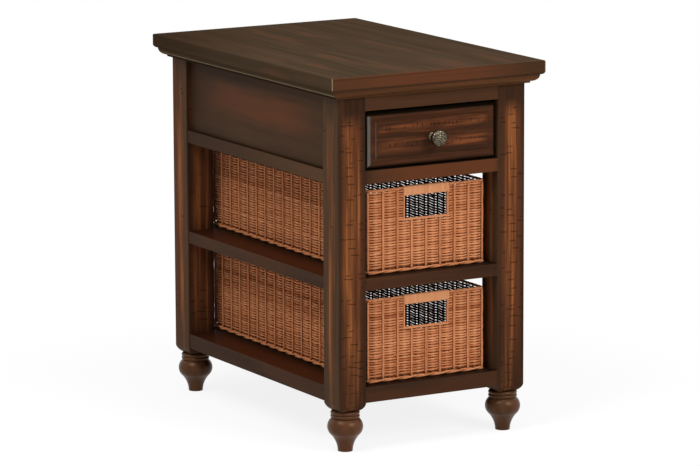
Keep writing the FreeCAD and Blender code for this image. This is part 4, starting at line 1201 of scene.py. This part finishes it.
def weave_base(name, draw):
    """The floor of a basket: canes across it, over and under ribs that run front to back."""
    low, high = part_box(f"{name}_base")
    middle_z = (low.z + high.z) / 2
    ribs = np.linspace(low.x + RIB_INSET, high.x - RIB_INSET, RIB_COUNT)
    along = np.linspace(low.y - FLOOR_OVER, high.y + FLOOR_OVER, RIB_STEPS)
    sideways = same((1, 0, 0), RIB_STEPS)
    weave = Weave()
    for x in ribs:
        path = lift(np.column_stack([np.full(RIB_STEPS, x), along]), middle_z)
        weave.strand(path, sideways, upward(RIB_STEPS), *RIB_SIZE, False, RIB_TONE)
    rows = int((high.y - low.y) / FLOOR_PITCH)
    across = np.linspace(low.x - FLOOR_OVER, high.x + FLOOR_OVER, FLOOR_STEPS)
    from_rib = math.pi * (across - ribs[0]) / (ribs[1] - ribs[0])
    ahead = same((0, 1, 0), FLOOR_STEPS)
    for row in range(rows):
        y = low.y + (row + 0.5) * (high.y - low.y) / rows + draw.normal() * FLOOR_WANDER
        sway = np.cos(from_rib + math.pi * (row % 2)) * FLOOR_SWAY
        path = lift(np.column_stack([across, np.full(FLOOR_STEPS, y)]), middle_z + sway)
        tone = np.clip(FLOOR_TONE + draw.normal() * FLOOR_TONE_SPREAD, 0, 1)
        weave.strand(path, ahead, upward(FLOOR_STEPS), *FLOOR_SIZE, False, tone)
    weave.piece(f"{name}_floor", name, f"{name}_base", CANE)


def wrap_grips(name, draw):
    """The two grips, wound with flat cane side by side."""
    low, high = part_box(f"{name}_grips")
    walls_low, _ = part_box(f"{name}_walls")
    thick = GRIP_WALL + 2 * (walls_low.y - low.y)
    angles = np.arange(GRIP_SIDES) * 2 * math.pi / GRIP_SIDES
    ring_y = np.sign(np.cos(angles)) * np.abs(np.cos(angles)) ** GRIP_SQUARE
    ring_z = np.sign(np.sin(angles)) * np.abs(np.sin(angles)) ** GRIP_SQUARE
    count = WRAP_COUNT * WRAP_STEPS + 1
    ripple = np.abs(np.sin(np.arange(count) * math.pi / WRAP_STEPS)) ** WRAP_ROUND
    shrink = WRAP_GROOVE * (1 - ripple)
    half_y = (thick / 2 - shrink)[:, None]
    half_z = ((high.z - low.z) / 2 - shrink)[:, None]
    weave = Weave()
    for middle_y in (low.y + thick / 2, high.y - thick / 2):
        rings = np.zeros((count, GRIP_SIDES, 3))
        rings[:, :, 0] = np.linspace(low.x, high.x, count)[:, None]
        rings[:, :, 1] = middle_y + ring_y[None, :] * half_y
        rings[:, :, 2] = (low.z + high.z) / 2 + ring_z[None, :] * half_z
        shade = draw.normal(size=WRAP_COUNT + 1) * WRAP_TONE_SPREAD
        tone = WRAP_TONE + np.repeat(shade, WRAP_STEPS)[:count]
        weave.add(rings, False, np.clip(tone, 0, 1)[:, None])
    weave.piece(f"{name}_grip_wraps", name, f"{name}_grips", GRIP_CANE)


for number, basket in enumerate(("upper_basket", "lower_basket")):
    basket_draw = np.random.default_rng(SEED + number)
    for make in (weave_walls, weave_rim, weave_border, weave_base, wrap_grips):
        make(basket, basket_draw)


# Camera

CAMERA_PLACE = Vector((-3.448, -6.034, 1.599))
CAMERA_AZIMUTH = math.radians(-29.814)
CAMERA_ELEVATION = math.radians(10.502)
CAMERA_ROLL = math.radians(-0.22)
CAMERA_END = 100.0
SENSOR_WIDTH = 36.0
FOCAL_PIXELS = 4099
PICTURE_PIXELS = 700


def make_camera():
    data = bpy.data.cameras.new("camera")
    data.sensor_width = SENSOR_WIDTH
    data.lens = SENSOR_WIDTH * FOCAL_PIXELS / PICTURE_PIXELS
    data.clip_end = CAMERA_END
    camera = add_object("camera", data)
    flat = math.cos(CAMERA_ELEVATION)
    ahead_x, ahead_y = -math.sin(CAMERA_AZIMUTH) * flat, math.cos(CAMERA_AZIMUTH) * flat
    forward = Vector((ahead_x, ahead_y, -math.sin(CAMERA_ELEVATION)))
    right = Vector((math.cos(CAMERA_AZIMUTH), math.sin(CAMERA_AZIMUTH), 0))
    up = right.cross(forward)
    tilt_right = right * math.cos(CAMERA_ROLL) + up * math.sin(CAMERA_ROLL)
    tilt_up = up * math.cos(CAMERA_ROLL) - right * math.sin(CAMERA_ROLL)
    turn = Matrix((tilt_right, tilt_up, -forward)).transposed()
    camera.matrix_world = Matrix.Translation(CAMERA_PLACE) @ turn.to_4x4()
    bpy.context.scene.camera = camera


# Stage and light

FLOOR_REACH = 30.0
FLOOR_MATT = (0.9, 0.9, 0.9, 1.0)
FLOOR_SHARE = 0.14
FLOOR_SHADOW = (0.5, 0.9)
WORLD_COLOUR = (1, 1, 1, 1)
WORLD_LEVEL = 0.3

# Each lamp's name, place, target, size and power
LAMPS = (
    ("key", (1.0, -3.6, 2.6), (0, 0, 0.35), 1.8, 120),
    ("overhead", (0.0, -0.2, 3.2), (0, 0, 0), 2.4, 40),
    ("left", (-2.2, -0.9, 3.2), (0, 0, 0.35), 1.6, 84),
)


def make_floor():
    """A white floor that keeps a faint shadow."""
    mesh = bpy.data.meshes.new("floor")
    corners = [(x * FLOOR_REACH, y * FLOOR_REACH, 0) for x, y in ((-1, -1), (1, -1), (1, 1), (-1, 1))]
    mesh.from_pydata(corners, [], [(0, 1, 2, 3)])
    floor = add_object("floor", mesh)
    shader = Shader("floor")
    x, y, _ = shader.split(shader.place())
    square = shader.math("MULTIPLY_ADD", x, x, shader.math("MULTIPLY", y, y))
    away = shader.math("SQRT", square)
    matt = shader.node("ShaderNodeBsdfDiffuse", {"Color": FLOOR_MATT})
    white = shader.node("ShaderNodeEmission", {"Strength": 1.0})
    glow = shader.ease(away, *FLOOR_SHADOW, 1 - FLOOR_SHARE, 1.0)
    share = shader.math("MULTIPLY", shader.seen(), glow)
    keys = {0: share, 1: matt.outputs[0], 2: white.outputs[0]}
    mixed = shader.node("ShaderNodeMixShader", keys)
    shader.node("ShaderNodeOutputMaterial", {"Surface": mixed.outputs[0]})
    mesh.materials.append(shader.block)


def make_world():
    """White where it is seen or mirrored, and a soft fill elsewhere."""
    shader = Shader("studio", "worlds")
    strength = shader.choose(shader.seen(), WORLD_LEVEL, 1.0)
    keys = {"Color": WORLD_COLOUR, "Strength": strength}
    background = shader.node("ShaderNodeBackground", keys)
    shader.node("ShaderNodeOutputWorld", {"Surface": background.outputs[0]})
    bpy.context.scene.world = shader.block


def soft_light(name, place, target, size, power):
    data = bpy.data.lights.new(name, "AREA")
    data.shape = "SQUARE"
    data.size = size
    data.energy = power
    light = add_object(name, data)
    light.location = place
    towards = Vector(target) - Vector(place)
    light.rotation_euler = towards.to_track_quat("-Z", "Y").to_euler()


make_camera()
make_floor()
make_world()
for lamp in LAMPS:
    soft_light(*lamp)

bpy.context.scene.view_settings.view_transform = "Standard"
